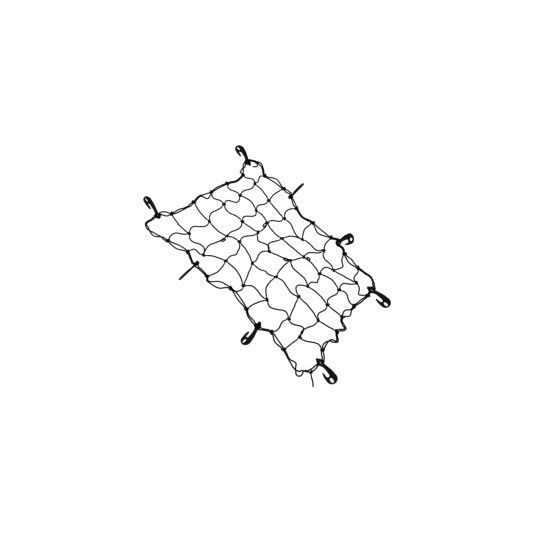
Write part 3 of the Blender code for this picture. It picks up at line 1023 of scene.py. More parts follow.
@dataclass(frozen=True)
class HookShape:
    """The outline of a moulded hook, in millimetres: its far end lies along X, its point on the +Y side.

    Attributes:
        thick: of its plate.
        eye_radius: of the eye's round ends.
        eye_wall: between the eye and the rim.
        eye_slot: where the centres of those ends lie along it.
        eye_tilt: the lean at which cords pass the eye without a bend, in degrees.
        to_end: from the middle of the eye to the far end.
        bend_radius: of the round end.
        hole: the half length and half width of the oval hole.
        hole_place: its centre.
        throat: the centre of the seat in the throat.
        throat_radius: of the seat.
        point: the centre of the hook's point.
        point_radius: of the point.
        fineness: how many times finer the smooth rim's round stretches are than the solid's.
        stretch_steps: in a straight stretch of the smooth rim, at most.
    """

    thick: float = 5.0
    eye_radius: float = 4.8
    eye_wall: float = 2.8
    eye_slot: Pair = (-5.0, 1.0)
    eye_tilt: float = 55.0
    to_end: float = 68.0
    bend_radius: float = 16.0
    hole: Pair = (7.6, 4.9)
    hole_place: Pair = (56.5, 3.0)
    throat: Pair = (39.0, 4.6)
    throat_radius: float = 5.4
    point: Pair = (27.0, 11.6)
    point_radius: float = 1.3
    fineness: int = 3
    stretch_steps: int = 6

    # Places of the rim between its round stretches.
    BELLY = ((6.0, -7.4), (20.0, -10.6), (34.0, -14.4))
    BACK = ((40.0, 16.0), (33.0, 14.8))
    INSIDE_POINT = ((32.5, 9.6),)
    SHANK = ((28.0, -0.6), (16.0, 0.4), (9.0, 3.4))

    def outline(self, fineness: int = 1) -> list[Vector]:
        """The hook's rim, counterclockwise.

        Args:
            fineness: how many times finer its round stretches are than the solid's.

        Returns:
            Its points.
        """
        rim = self.eye_radius + self.eye_wall
        bend = Vector((self.to_end - self.bend_radius, 0.0))
        eye_end, point, seat = Vector((self.eye_slot[0], 0.0)), Vector(self.point), Vector(self.throat)
        return [
            *arc(eye_end, (rim, rim), 90, 270, 8 * fineness),
            *map(Vector, self.BELLY),
            *arc(bend, (self.bend_radius,) * 2, -105, 95, 12 * fineness),
            *map(Vector, self.BACK),
            *arc(point, (self.point_radius,) * 2, 110, 260, 2 * fineness),
            *map(Vector, self.INSIDE_POINT),
            *arc(seat, (self.throat_radius,) * 2, 80, -80, 5 * fineness),
            *map(Vector, (*self.SHANK, (3.0, rim))),
        ]

    def smooth_outline(self) -> list[Vector]:
        """The rim with its straight stretches drawn as the gentle curves that they are."""
        points = [point.to_3d() for point in self.outline(self.fineness)]
        tangents = curve_tangents(points, closed=True)
        rim = []
        for i, start in enumerate(points):
            after = (i + 1) % len(points)
            count = round((points[after] - start).length / self.point_radius)
            count = max(1, min(self.stretch_steps, count))
            rim += curve_stretch(start, points[after], (tangents[i], tangents[after]), count)
        return rim

    def holes(self) -> list[list[Vector]]:
        """The points of the eye, a slot with round ends, and of the oval hole in the round end."""
        eye = (self.eye_radius, self.eye_radius)
        low, high = (Vector((place, 0.0)) for place in self.eye_slot)
        slot = [*arc(high, eye, -90, 90, 6 * self.fineness), *arc(low, eye, 90, 270, 6 * self.fineness)]
        oval = arc(Vector(self.hole_place), self.hole, 0, 360, 12 * self.fineness)[:-1]
        return [[point.to_3d() for point in loop] for loop in (slot, oval)]


SHAPE = HookShape()


@dataclass(frozen=True)
class HookPose:
    """How a hook lies: its spot, and what follows from the surface and the cords under it.

    Attributes:
        spot: its row of the table.
    """

    spot: Spot

    SETTLING_ROUNDS = 8
    # The share of the hook's length beyond which it may touch the surface when it is tipped.
    EYE_PART = 0.25

    def eye_share(self) -> float:
        """How much of the flat hook's eye route this one needs: a leaning plate is easier to pass."""
        return max(0.0, 1 - abs(self.spot.lean) / SHAPE.eye_tilt)

    def rest(self) -> Pair:
        """The height of the eye, and how far the hook is tipped up, in radians."""
        lean, raised = math.radians(self.spot.lean), math.radians(self.spot.raised)
        half_thick = 0.5 * SHAPE.thick * math.cos(lean)
        far = SHAPE.to_end * self.EYE_PART
        rims = [(point.x, half_thick + ELASTIC.lift - point.y * math.sin(lean)) for point in SHAPE.outline()]
        under_rim = ELASTIC.rest_height - EYE_ROUTE[0][1] * self.eye_share()
        tipped = 0.0
        # The height of the eye end and the tip of the rest depend on each other, and settle in a few rounds.
        for _ in range(self.SETTLING_ROUNDS):
            slope = math.sin(tipped + raised)
            height = max(under_rim, *(need - x * slope for x, need in rims if x < SHAPE.eye_slot[1]))
            tipped = math.asin(max((need - height) / x for x, need in rims if x > far))
        return height, tipped + raised

    def axes(self) -> tuple[Vector, Vector, Vector]:
        """The hook's own ways: along it, across it to its point, and square to the first, upwards."""
        heading = math.radians(self.spot.heading)
        forward = Vector((math.cos(heading), math.sin(heading), 0.0))
        _, rise = self.rest()
        ahead = forward * math.cos(rise) + UP * math.sin(rise)
        above = UP * math.cos(rise) - forward * math.sin(rise)
        lean = math.radians(self.spot.lean)
        across = left_of(forward) * self.spot.point * math.cos(lean) + above * math.sin(lean)
        return ahead, across, above

    def eye(self) -> Vector:
        """The centre of the hook's eye."""
        height, _ = self.rest()
        return GRID.place((self.spot.along, self.spot.across), height)


@dataclass
class MouldedHook:
    """One moulded hook: a flat plate with rounded rims, a long eye, an open throat and an oval hole.

    Attributes:
        name: of its solid.
        pose: how it lies.
        finish: its material.
        rim_round: radius of its rounded rims, in millimetres.
        draft: how far its walls lean in from the line where the mould parted.
        rubbed_band: how far onto the face its rims are rubbed.
        rim_steps: in the rounding.
        sharp: the angle over which an edge looks sharp.
    """

    name: str
    pose: HookPose
    finish: Material
    rim_round: float = 1.1
    rim_steps: int = 4
    draft: float = 0.12
    rubbed_band: float = 0.7
    sharp: float = 50.0

    # The attribute that says how worn a point is, and its value where the wear fades on the face.
    RIM = "rim"
    FADING = 0.6
    # What counts as no distance, in metres.
    HAIR = 1e-7

    def build(self) -> Object:
        """Makes the hook in its place, dressed and riding on the object."""
        work = self.half_plate()
        everything = work.verts[:] + work.edges[:] + work.faces[:]
        bmesh.ops.mirror(work, geom=everything, matrix=Matrix.Identity(4), merge_dist=self.HAIR, axis="Z")
        bmesh.ops.recalc_face_normals(work, faces=work.faces)
        ahead, across, _ = self.pose.axes()
        axes = Matrix((ahead, across, ahead.cross(across))).transposed().to_4x4()
        place = Matrix.Translation(self.pose.eye() * MM) @ axes
        bmesh.ops.transform(work, matrix=place, verts=work.verts)
        mesh = bpy.data.meshes.new(self.name + "_moulding")
        work.to_mesh(mesh)
        work.free()
        mesh.shade_smooth()
        mesh.set_sharp_from_angle(angle=math.radians(self.sharp))
        mesh.materials.append(self.finish)
        return as_piece(mesh, self.name, Slot.PLASTIC)

    def half_plate(self) -> bmesh.types.BMesh:
        """The half of the plate above the line where the mould parted, inset step by step to its face."""
        work = bmesh.new()
        for loop in (SHAPE.smooth_outline(), *SHAPE.holes()):
            rim = [work.verts.new(point * MM) for point in loop]
            for i, vert in enumerate(rim):
                work.edges.new((rim[i - 1], vert))
        bmesh.ops.triangle_fill(work, edges=work.edges, use_beauty=True, normal=UP)
        turned = [face for face in work.faces if face.normal.z < 0]
        bmesh.ops.reverse_faces(work, faces=turned)
        faces = work.faces[:]
        wall = 0.5 * SHAPE.thick - self.rim_round
        for inwards, upwards in [(self.draft, wall), *self.rounding(), (self.rubbed_band, 0.0)]:
            bmesh.ops.inset_region(
                work,
                faces=faces,
                thickness=inwards * MM,
                depth=upwards * MM,
                use_boundary=True,
                use_even_offset=True,
            )
        self.mark_rims(work)
        return work

    def rounding(self) -> list[Pair]:
        """The steps of the rounded rim, each as (inwards, upwards)."""
        angles = [math.pi / 2 * i / self.rim_steps for i in range(self.rim_steps + 1)]
        steps = []
        for before, after in zip(angles, angles[1:]):
            inwards = self.rim_round * (math.cos(before) - math.cos(after))
            upwards = self.rim_round * (math.sin(after) - math.sin(before))
            steps.append((inwards, upwards))
        return steps

    def mark_rims(self, work: bmesh.types.BMesh) -> None:
        """Writes how near a rim each point lies, for the wear: 1 on the rounding, 0 on the face.

        Args:
            work: the half plate.
        """
        layer = work.verts.layers.float.new(self.RIM)
        top = max(vert.co.z for vert in work.verts) - self.HAIR
        for vert in work.verts:
            if vert.co.z < top:
                vert[layer] = 1.0
            elif any(edge.other_vert(vert).co.z < top for edge in vert.link_edges):
                vert[layer] = self.FADING


# ---------------- the edge's two cords


class StopKind(Enum):
    """What the edge's two cords come to."""

    KNOT = "knot"
    HOOK = "hook"
    TIE = "tie"
    BEND = "bend"


KNOT, HOOK, TIE, BEND = StopKind


class Stop(NamedTuple):
    """A stop of the two cords on their way round the net.

    Its place is a knot of the web, as (row, strand), the name of a hook, or (along, across). "gap" is how far
    apart the two cords lie halfway to the next stop, "bulge" how far outwards they stand there, and "there"
    how far apart they lie at the stop itself. Where they lie nearer than side by side, one lies on the other.
    """

    kind: StopKind
    place: Pair | str
    gap: float
    bulge: float
    there: float | None = None


# In order round the net, counterclockwise from above.
BORDER = (
    Stop(KNOT, (1, 0), 13, 1),
    Stop(KNOT, (2, 0), 3, 2),
    Stop(HOOK, "hook_side_1", 4, -2),
    Stop(KNOT, (3, 0), 4, 0),
    Stop(BEND, (-67, -197), 20, 0, 3),
    Stop(KNOT, (4, 0), 9, -2),
    Stop(KNOT, (5, 0), 3, 0),
    Stop(BEND, (93, -183), 6, 0, 4),
    Stop(HOOK, "hook_side_2", 4, 0),
    Stop(KNOT, (6, 0), 10, 3),
    Stop(KNOT, (7, 0), 3, 0),
    Stop(BEND, (264, -187), 12, -4, 3),
    Stop(BEND, (301, -196), 12, 0, 1),
    Stop(BEND, (314, -195), 12, 0, 13),
    Stop(BEND, (316, -182), 3, 0, 2),
    Stop(TIE, (329, -168), 7, 0),
    Stop(HOOK, "hook_corner_2", 9, 0),
    Stop(KNOT, (8, 1), 7, -4),
    Stop(BEND, (304, -68), 5, 0, 1),
    Stop(BEND, (311, -61), 5, 0, 7),
    Stop(BEND, (320, -53), 3, 0, 4),
    Stop(KNOT, (8, 2), 9, -4),
    Stop(BEND, (310, -10), 4, 0, 4),
    Stop(BEND, (287, -1), 3, 0, 3),
    Stop(KNOT, (8, 3), 21, 0),
    Stop(BEND, (282, 46), 3, 0, 3),
    Stop(KNOT, (8, 4), 5, 0),
    Stop(KNOT, (8, 5), 3, 0),
    Stop(HOOK, "hook_corner_3", 5, 0),
    Stop(BEND, (264, 155), 1, 0, 1),
    Stop(BEND, (249, 160), 1, 0, 1),
    Stop(KNOT, (7, 6), 12, -2),
    Stop(KNOT, (6, 6), 3, 0),
    Stop(BEND, (128, 169), 3, 0, 3),
    Stop(HOOK, "hook_side_3", 5, 0),
    Stop(KNOT, (5, 6), 14, -7),
    Stop(KNOT, (4, 6), 1, -8),
    Stop(KNOT, (3, 6), 7, 3),
    Stop(HOOK, "hook_side_4", 7, 0),
    Stop(KNOT, (2, 6), 12, 8),
    Stop(KNOT, (1, 6), 3, -2),
    Stop(BEND, (-244, 188), 3, 0, 3),
    Stop(BEND, (-262, 195), 6, 0, 7),
    Stop(BEND, (-276, 191), 3, 0, 3),
    Stop(HOOK, "hook_corner_4", 8, 0),
    Stop(BEND, (-289, 144), 6, 0, 1),
    Stop(BEND, (-281, 130), 6, 0, 10),
    Stop(KNOT, (0, 5), 3, -7),
    Stop(KNOT, (0, 4), 5, 4),
    Stop(KNOT, (0, 3), 18, -8),
    Stop(BEND, (-304, -24), 3, 0, 1),
    Stop(KNOT, (0, 2), 6, 0),
    Stop(BEND, (-301, -81), 8, 1, 1),
    Stop(KNOT, (0, 1), 15, 6),
    Stop(HOOK, "hook_corner_1", 3.5, 2),
    Stop(BEND, (-343, -209), 3.4, 0, 3.4),
    Stop(BEND, (-330, -215), 4, 0, 6),
    Stop(BEND, (-318, -217), 9, 4, 1),
    Stop(BEND, (-275, -205), 5, 0, 2),
)


class Station(NamedTuple):
    """A point of the middle line between the edge's two cords.

    "where" counts stops, so that 3.5 is halfway from stop 3 to stop 4, and "outwards" is the way from the
    web's own edge strand to the border cord. "hook" is the name of the hook whose eye it lies in.
    """

    point: Vector
    where: float
    outwards: Vector
    hook: str | None = None


@dataclass(frozen=True)
class Lacing:
    """How the edge's two cords are laced to a hook: each takes round turns about a wall of its eye.

    Places in the eye are (ahead along the hook, towards a side of it, out of its plate on the side where the
    cords leave).

    Attributes:
        pose: the hook's.
        start: where the middle of the two cords comes to the eye.
        end: where it has left the eye.
        tight: radius of a cord pulled tight round a wall.
        leave: how far from the middle line each cord leaves.
        nearly_flat: the lean, in degrees, under which the edge strand takes more turns.
        beside: how far the first of its two end turns lies from the second.
    """

    pose: HookPose
    start: Vector
    end: Vector
    tight: float = 1.65
    leave: float = 4.2
    nearly_flat: float = 30.0
    beside: float = 2.9

    # Round the eye's end wall.
    END_TURN = (
        (-5.6, -4.2, -4.6),
        (-7.7, -2.0, -2.2),
        (-7.9, -1.8, 0.4),
        (-8.6, -1.3, 3.2),
        (-11.2, -0.8, 4.3),
        (-13.6, -0.3, 3.0),
        (-14.4, 0.0, 0.0),
        (-13.6, 0.4, -3.0),
        (-11.2, 0.9, -4.3),
        (-8.6, 1.5, -3.3),
        (-7.8, 1.9, -0.4),
        (-7.5, 2.2, 2.4),
        (-6.2, 4.4, 4.4),
    )
    # Round a side wall. Its first figure is a share of the way from one pass through the eye to the next.
    SIDE_TURN = (
        (0.0, 0.6, -2.6),
        (0.0, 2.4, 0.4),
        (0.05, 4.0, 3.7),
        (0.2, 7.0, 4.2),
        (0.38, 9.2, 1.6),
        (0.55, 9.2, -1.8),
        (0.75, 7.0, -4.2),
        (0.95, 4.2, -3.9),
        (1.0, 2.4, -0.8),
        (1.0, 2.0, 2.2),
    )
    # How far ahead each cord passes through the eye, time after time.
    BORDER_PASSES = (-3.9, 0.0, 3.6)
    EDGE_PASSES = (-7.3, -4.0)
    ENTRY_PASSES = (3.5, -0.3, -4.1)

    def point(self, ahead: float, side: float, out: float) -> Vector:
        """A place in the eye as a point of the net's frame.

        Args:
            ahead: along the hook.
            side: towards its point.
            out: out of its plate, on the side where the cords leave.

        Returns:
            The point.
        """
        along, across, _ = self.pose.axes()
        plate = along.cross(across)
        if plate.dot(self.end - self.start) < 0:
            plate.negate()
        return self.pose.eye() + along * ahead + across * side + plate * out

    def side_turn(self, passes: tuple[float, ...], side: int) -> list[Vector]:
        """Round turns about a side wall.

        Args:
            passes: where the cord passes through the eye, time after time.
            side: 1 for the wall towards the hook's point, -1 for the other.

        Returns:
            Its points.
        """
        points = []
        for number, (first, second) in enumerate(zip(passes, passes[1:])):
            # Turn follows turn: all but the first leave out how they enter, all but the last how they end.
            turn = self.SIDE_TURN[2 if number else 0 : None if number == len(passes) - 2 else -1]
            points += [self.point(first + (second - first) * share, y * side, z) for share, y, z in turn]
        return points

    def upper_side(self) -> int:
        """The wall that stands higher, or on a flat hook the one that the cords leave over."""
        _, across, _ = self.pose.axes()
        if self.pose.spot.lean == 0:
            return self.leaving_side()
        return 1 if across.z > 0 else -1

    def leaving_side(self) -> int:
        """The side towards which the cords pass."""
        _, across, _ = self.pose.axes()
        return 1 if across.dot(self.end - self.start) > 0 else -1

    def border(self) -> tuple[list[Vector], list[float]]:
        """The border cord's points and radii, up to where it leaves."""
        return self.finished(self.side_turn(self.BORDER_PASSES, self.upper_side()), 1)

    def edge(self) -> tuple[list[Vector], list[float]]:
        """The edge strand's points and radii, up to where it leaves."""
        side = self.leaving_side()
        if self.pose.spot.raised:
            turn = self.side_turn(self.EDGE_PASSES, -self.upper_side())
        else:
            turn = [self.point(x, y * side, z) for x, y, z in self.END_TURN]
        if abs(self.pose.spot.lean) < self.nearly_flat and not self.pose.spot.raised:
            # Both end turns leave out the way into the eye, which the turns about the side wall have made.
            first = [self.point(x, (y - self.beside) * side, z) for x, y, z in self.END_TURN[3:-2]]
            turn = [*self.side_turn(self.ENTRY_PASSES, -side), *first, *turn[3:]]
        return self.finished(turn, -1)

    def finished(self, turn: list[Vector], way: int) -> tuple[list[Vector], list[float]]:
        """Adds where a cord leaves.

        Args:
            turn: its points so far.
            way: 1 if it leaves ahead of the middle line, or -1 behind it.

        Returns:
            All its points, and its radius at each.
        """
        along, _, _ = self.pose.axes()
        radii = [self.tight] * len(turn) + [ELASTIC.radius]
        return [*turn, self.end + along * self.leave * way], radii


@dataclass
class EdgePair:
    """The web's own edge strand and the border cord beside it, on their way round the net.

    Attributes:
        pair: between the two where they lie side by side.
        pair_in_knot: between them in a knot.
        tie_spread: between them beside the border cord's own knot.
        leads: between a stop and where the pair lies free again, where it isn't a knot's.
        eye_pace: of the way between stops that each millimetre through an eye counts for.
        fine_steps: points read from each stretch of the smooth middle line.
        after_eye: how many of them are left out where the pair comes out of an eye.
        grip: how far to each side a knot squeezes the cords.
        touch: between two cords where one lies on the other.
        ripple: how far the cords stray in their small waves.
        stray_waves: how fast both stray together, in radians from stop to stop.
        reach_waves: how fast they stray from each other.
    """

    pair: float = 4.0
    pair_in_knot: float = 3.2
    tie_spread: float = 7.6
    leads: dict[StopKind, float] = field(default_factory=lambda: {HOOK: 17.0, BEND: 5.0})
    eye_pace: float = 0.01
    fine_steps: int = 12
    after_eye: int = 2
    grip: float = 9.0
    touch: float = 0.1
    ripple: float = 0.4
    stray_waves: float = 7.0
    reach_waves: float = 11.0

    def stop_place(self, stop: Stop) -> Vector:
        """Where the middle of the two cords lies at a stop.

        Args:
            stop: the stop.

        Returns:
            The place.
        """
        if stop.kind is KNOT:
            return GRID.knot(*stop.place)
        if stop.kind is HOOK:
            return HookPose(HOOKS[stop.place]).eye()
        return GRID.place(stop.place, GRID.knot_height if stop.kind is TIE else ELASTIC.rest_height)

    def eye_stations(self, hook: str, index: int) -> list[Station]:
        """The middle line through a hook's eye.

        Args:
            hook: its name.
            index: the stop's number.

        Returns:
            Its stations, from side to side.
        """
        pose = HookPose(HOOKS[hook])
        ahead, across, above = pose.axes()
        travel = left_of(ahead)
        climb = -1 if across.z * across.dot(travel) > 0 else 1
        stations = []
        for run, lift in EYE_ROUTE:
            point = pose.eye() + travel * run + above * lift * climb * pose.eye_share()
            stations.append(Station(point, index + run * self.eye_pace, ahead, hook))
        return stations

    def stations(self) -> list[Station]:
        """The middle line round the net."""
        places = [self.stop_place(stop) for stop in BORDER]
        stations = []
        for i, stop in enumerate(BORDER):
            before, centre, after = places[i - 1], places[i], places[(i + 1) % len(BORDER)]
            next_stop = BORDER[(i + 1) % len(BORDER)]
            run = after - centre
            if stop.kind is HOOK:
                stations += self.eye_stations(stop.place, i)
            else:
                stations.append(Station(centre, i, -left_of(after - before)))
            kinds = (stop.kind, next_stop.kind)
            leads = [self.leads.get(kind, GRID.knot_lead) for kind in kinds]
            if run.length > sum(leads) + GRID.knot_lead:
                middle = centre + run / 2 - left_of(run) * stop.bulge
                middle.z = ELASTIC.rest_height
                stations.append(Station(middle, i + 0.5, -left_of(run)))
        return stations

    def spread(self, where: float) -> float:
        """How far apart the two cords lie.

        Args:
            where: the place between stops.

        Returns:
            The distance of their centrelines, side by side.
        """
        stop = BORDER[math.floor(where) % len(BORDER)]
        after = BORDER[math.floor(where + 1) % len(BORDER)]
        share = where % 1
        near = stop if share < 0.5 else after
        widths = {TIE: self.tie_spread, KNOT: self.pair_in_knot}
        at_stop = widths.get(near.kind, self.pair) if near.there is None else near.there
        return at_stop + (stop.gap - at_stop) * ease(2 * min(share, 1 - share))

    def cords(self) -> tuple[CordRoute, ...]:
        """The closed routes of the border cord, outside, and of the web's own edge strand, inside it."""
        stations = self.stations()
        tangents = curve_tangents([station.point for station in stations], closed=True)
        pair = CordRoute(closed=True), CordRoute(closed=True)
        for i, here in enumerate(stations):
            after = (i + 1) % len(stations)
            there = stations[after]
            if not here.hook or here.hook != there.hook:
                ends = (tangents[i], tangents[after])
                line = curve_stretch(here.point, there.point, ends, self.fine_steps)
                self.add_free(pair, line, (here, there))
            elif stations[i - 1].hook != here.hook:
                self.add_laced(pair, here, stations[i + len(EYE_ROUTE) - 1].point)
        return tuple(cord.smoothed().rested() for cord in pair)

    def add_laced(self, pair: tuple[CordRoute, CordRoute], here: Station, end: Vector) -> None:
        """Laces both cords to a hook.

        Args:
            pair: the border cord's route and the edge strand's.
            here: the station where they come to the hook's eye.
            end: where they have left it.
        """
        lacing = Lacing(HookPose(HOOKS[here.hook]), here.point, end)
        for cord, way, turns in zip(pair, (1, -1), (lacing.border(), lacing.edge())):
            cord.add([here.point + here.outwards * way * self.pair / 2], ELASTIC.radius)
            cord.add(*turns)

    def add_free(
        self,
        pair: tuple[CordRoute, CordRoute],
        line: list[Vector],
        ends: tuple[Station, Station],
    ) -> None:
        """Lays both cords beside a stretch of their middle line.

        Args:
            pair: the border cord's route and the edge strand's.
            line: the stretch's points.
            ends: its stations.
        """
        here, there = ends
        knots = [self.stop_place(stop) for stop in BORDER if stop.kind is KNOT]
        for step, middle in enumerate(line):
            if here.hook and step < self.after_eye:
                continue
            share = step / self.fine_steps
            gone = ((there.where or len(BORDER)) - here.where) * share
            out = here.outwards.lerp(there.outwards, share).normalized()
            squeeze = 1 - ease(min((middle - knot).length for knot in knots) / self.grip)
            radius = ELASTIC.radius - (ELASTIC.radius - ELASTIC.gripped) * squeeze
            stray, reach, lift = self.parting(here.where + gone, 2 * radius + self.touch)
            pair[0].add([middle + out * (stray + reach) + UP * lift], radius)
            pair[1].add([middle + out * (stray - reach)], radius)

    def parting(self, where: float, touching: float) -> tuple[float, float, float]:
        """How the border cord and the edge strand stand off the middle line.

        Args:
            where: the place between stops.
            touching: the distance of the two centrelines where the cords touch.

        Returns:
            How far outwards both stray, half their distance, and how far the border cord is lifted.
        """
        share = where % 1
        calm = ease(3 * min(share, 1 - share))
        stray = self.ripple * math.sin(where * self.stray_waves) * calm
        reach = (self.spread(where) + self.ripple * (1 + math.sin(where * self.reach_waves)) * calm) / 2
        return stray, reach, math.sqrt(max(0.0, touching**2 - (2 * reach) ** 2))


# ---------------- the web and the border cord


def knot_on(place: Vector, *cords: CordRoute) -> KnotFrame:
    """The axes of a knot on the net's edge, which grips one cord or two side by side and passes outwards.

    Args:
        place: where it lies.
        cords: their closed routes, counterclockwise from above.

    Returns:
        The knot's axes.
    """
    core = cords[0].level_way(cords[0].nearest(place))
    middle = sum((cord.points[cord.nearest(place)] for cord in cords), Vector()) / len(cords)
    return KnotFrame(Vector((middle.x, middle.y, GRID.knot_height)), core, -left_of(core))


def tied_end(knot: KnotFrame, side: int, spots: Sequence[Pair]) -> CordRoute:
    """A cord's end that is hitched round another cord, with a short free length that is cut and sealed.

    Args:
        knot: the hitch's axes.
        side: 1, or -1 for the hitch's mirror image.
        spots: the places that the free length passes.

    Returns:
        Its route.
    """
    route = CordRoute()
    route.add(Hitch().run(knot, side), ELASTIC.wound)
    route.add([GRID.place(spot, ELASTIC.rest_height) for spot in spots], ELASTIC.radius)
    return with_sealed_end(route).smoothed().rested()


Ends = tuple[KnotFrame, KnotFrame]


@dataclass
class Web:
    """The knotted web: strands both ways, the edge strand, and a hitch wherever cords meet.

    Attributes:
        clear: how far from a knot's middle a bare stretch begins.
        relax: how far from it the cord has its own thickness again.
        swell: how much thicker than wound a bare stretch begins.
        ripple: how far a slack stretch strays to each side in its small waves.
        ripple_length: of one wave.
        ripple_shifts: how far the waves of the next strand and of the next cell are shifted, in radians.
        fewest_steps: in a bare stretch.
        stub: how far from the middle of an edge knot a strand's cut end lies, along the border cord.
        tail_rise: of the knot of the web's cut end, above the edge strand.
        inner_hitch: the knot of two strands.
        edge_hitch: the knot of a strand round the edge's two cords.
    """

    clear: float = 8.0
    relax: float = 15.0
    swell: float = 0.15
    ripple: float = 0.4
    ripple_length: float = 31.0
    ripple_shifts: Pair = (2.3, 3.7)
    fewest_steps: int = 8
    stub: float = 5.2
    tail_rise: float = 1.5
    inner_hitch: Hitch = Hitch()
    edge_hitch: Hitch = Hitch(half_flat=1.6)

    STRAIGHT = Kink(0.5, 0.0, 1.0)
    # Where a lengthwise strand is held in a knot, along itself.
    HELD = (-4.5, -1.5, 1.5, 4.5)
    # A strand's cut end, as (along the border cord, beyond the stub, height, how much thicker than wound).
    CUT_END = ((2.2, 0.0, 0.4, 0.1), (4.0, 0.4, -1.4, 0.2))
    # A curl's turn from point to point, the turn at which its end begins to rise, and until it has risen.
    CURL_STEP, CURL_RISES, CURL_RISE = 24, 170, 130
    # Between a curl's end and its beginning, and between the curl and the next point of the stretch.
    CURL_CLEAR = 0.2
    CURL_GAP = 2.0

    def slack_stretch(self, start: Vector, end: Vector, slack: Pair, cell: tuple[Way, int, int]) -> CordRoute:
        """The bare stretch of a strand from knot to knot, which bows to the left and dips to the surface.

        Args:
            start: the middle of the knot that it leaves.
            end: the middle of the knot that it reaches.
            slack: its bow and its wave.
            cell: which stretch it is, as the tables of curls and kinks find it.

        Returns:
            Its route, without what lies in the knots.
        """
        bow, wave = slack
        run = end - start
        side = left_of(run)
        route = CordRoute()
        steps = max(self.fewest_steps, round(run.length / ELASTIC.pace))
        kink = KINKS.get(cell, self.STRAIGHT)
        phase = self.ripple_shifts[0] * cell[1] + self.ripple_shifts[1] * cell[2] + cell[0].value
        rest = ELASTIC.rest_height
        for i in range(steps + 1):
            share = i / steps
            sideways = bow * math.sin(math.pi * share) + wave * math.sin(2 * math.pi * share)
            waves = math.sin(share * run.length / self.ripple_length * 2 * math.pi + phase)
            sideways += self.ripple * waves * math.sin(math.pi * share)
            sideways += kink.size * max(0.0, 1 - abs(share - kink.share) * run.length / kink.reach)
            point = start + run * share + side * sideways
            lead = max(0.0, 1 - min(share, 1 - share) * run.length / GRID.knot_lead) ** 2
            arch = GRID.arch_share * abs(sideways)
            point.z = rest + lead * (GRID.knot_height - rest) + arch * (1 - lead)
            near = min((point - start).length, (point - end).length)
            if near > self.clear:
                relaxed = ease((near - self.clear) / (self.relax - self.clear))
                swollen = ELASTIC.wound + self.swell
                route.add([point], swollen + (ELASTIC.radius - swollen) * relaxed)
        return self.curled(route, CURLS[cell]) if cell in CURLS else route

    def curled(self, route: CordRoute, curl: Curl) -> CordRoute:
        """Lays a small loop in a bare stretch, whose end passes over its beginning.

        Args:
            route: the stretch.
            curl: its loop.

        Returns:
            The stretch with the loop.
        """
        at = round(curl.share * (len(route.points) - 1))
        base = route.points[at]
        ahead = level(route.points[at + 1] - route.points[at - 1])
        side = left_of(ahead) * curl.side
        made = CordRoute()
        made.add(route.points[:at], route.radii[:at])
        drift = 0.5 * curl.half_length
        lift = 2 * ELASTIC.radius + self.CURL_CLEAR
        for turned in range(0, 361, self.CURL_STEP):
            angle = math.radians(turned)
            forward = curl.half_length * math.sin(angle) + drift * turned / 360
            sideways = curl.half_width * (1 - math.cos(angle))
            raised = lift * ease((turned - self.CURL_RISES) / self.CURL_RISE)
            made.add([base + ahead * forward + side * sideways + UP * raised], ELASTIC.radius)
        after = [point for point in route.points[at:] if (point - base).dot(ahead) > drift + self.CURL_GAP]
        radii = route.radii[len(route.radii) - len(after) :]
        for point, radius in zip(after, radii):
            down = 1 - ease((point - base).length / GRID.knot_lead)
            made.add([point + UP * lift * down], radius)
        return made

    def end_hitch(self, route: CordRoute, knot: KnotFrame, side: int) -> None:
        """Ends a strand in a hitch round the edge's two cords, with a short sealed end outside it.

        Args:
            route: the strand up to the knot.
            knot: the knot's axes.
            side: 1, or -1 for the hitch's mirror image.
        """
        route.add(self.edge_hitch.run(knot, side), ELASTIC.wound)
        for along, beyond, height, thicker in self.CUT_END:
            route.add([knot.point(side * along, self.stub + beyond, height)], ELASTIC.wound + thicker)
        with_sealed_end(route)

    def stretches(self, way: Way, number: int, edges: Ends) -> tuple[list[Vector], list[CordRoute]]:
        """A strand's knots and the bare stretches between them.

        Args:
            way: how it runs.
            number: its number.
            edges: the knots at its ends.

        Returns:
            The middle of each knot, and the stretch in each cell.
        """
        slacks = SLACK[way][number - 1]
        others = range(len(slacks) + 1)
        places = [(number, other) if way is Way.CROSSWISE else (other, number) for other in others]
        knots = [GRID.knot(*place) for place in places]
        knots[0], knots[-1] = (edge.centre for edge in edges)
        cells = [(way, number, cell) for cell in range(1, len(slacks) + 1)]
        return knots, [self.slack_stretch(*ends) for ends in zip(knots, knots[1:], slacks, cells)]

    def strand(
        self,
        stretches: list[CordRoute],
        passes: list[tuple[list[Vector], float]],
        edges: Ends,
        side: int,
    ) -> CordRoute:
        """Joins a strand's bare stretches and ties its ends to the edge.

        Args:
            stretches: the bare stretches.
            passes: its points and its radius in each knot between them.
            edges: the knots at its ends.
            side: 1, or -1 for the mirror image of its hitches.

        Returns:
            Its route.
        """
        route = CordRoute()
        route.add(stretches[0].points, stretches[0].radii)
        for passed, stretch in zip(passes, stretches[1:]):
            route.add(*passed)
            route.add(stretch.points, stretch.radii)
        self.end_hitch(route, edges[1], side)
        route.points.reverse()
        route.radii.reverse()
        self.end_hitch(route, edges[0], -side)
        return route.smoothed().rested()

    def lengthwise(self, strand: int, edges: Ends) -> tuple[CordRoute, list[Vector]]:
        """A lengthwise strand, which the crosswise ones are wound round.

        Args:
            strand: its number.
            edges: the knots at its ends.

        Returns:
            Its route, and its level way through each of its inner knots.
        """
        knots, stretches = self.stretches(Way.LENGTHWISE, strand, edges)
        ways = [level(after.points[0] - before.points[-1]) for before, after in zip(stretches, stretches[1:])]
        passes = []
        for knot, direction in zip(knots[1:], ways):
            passes.append(([knot + direction * along for along in self.HELD], ELASTIC.gripped))
        return self.strand(stretches, passes, edges, 1 if strand % 2 else -1), ways

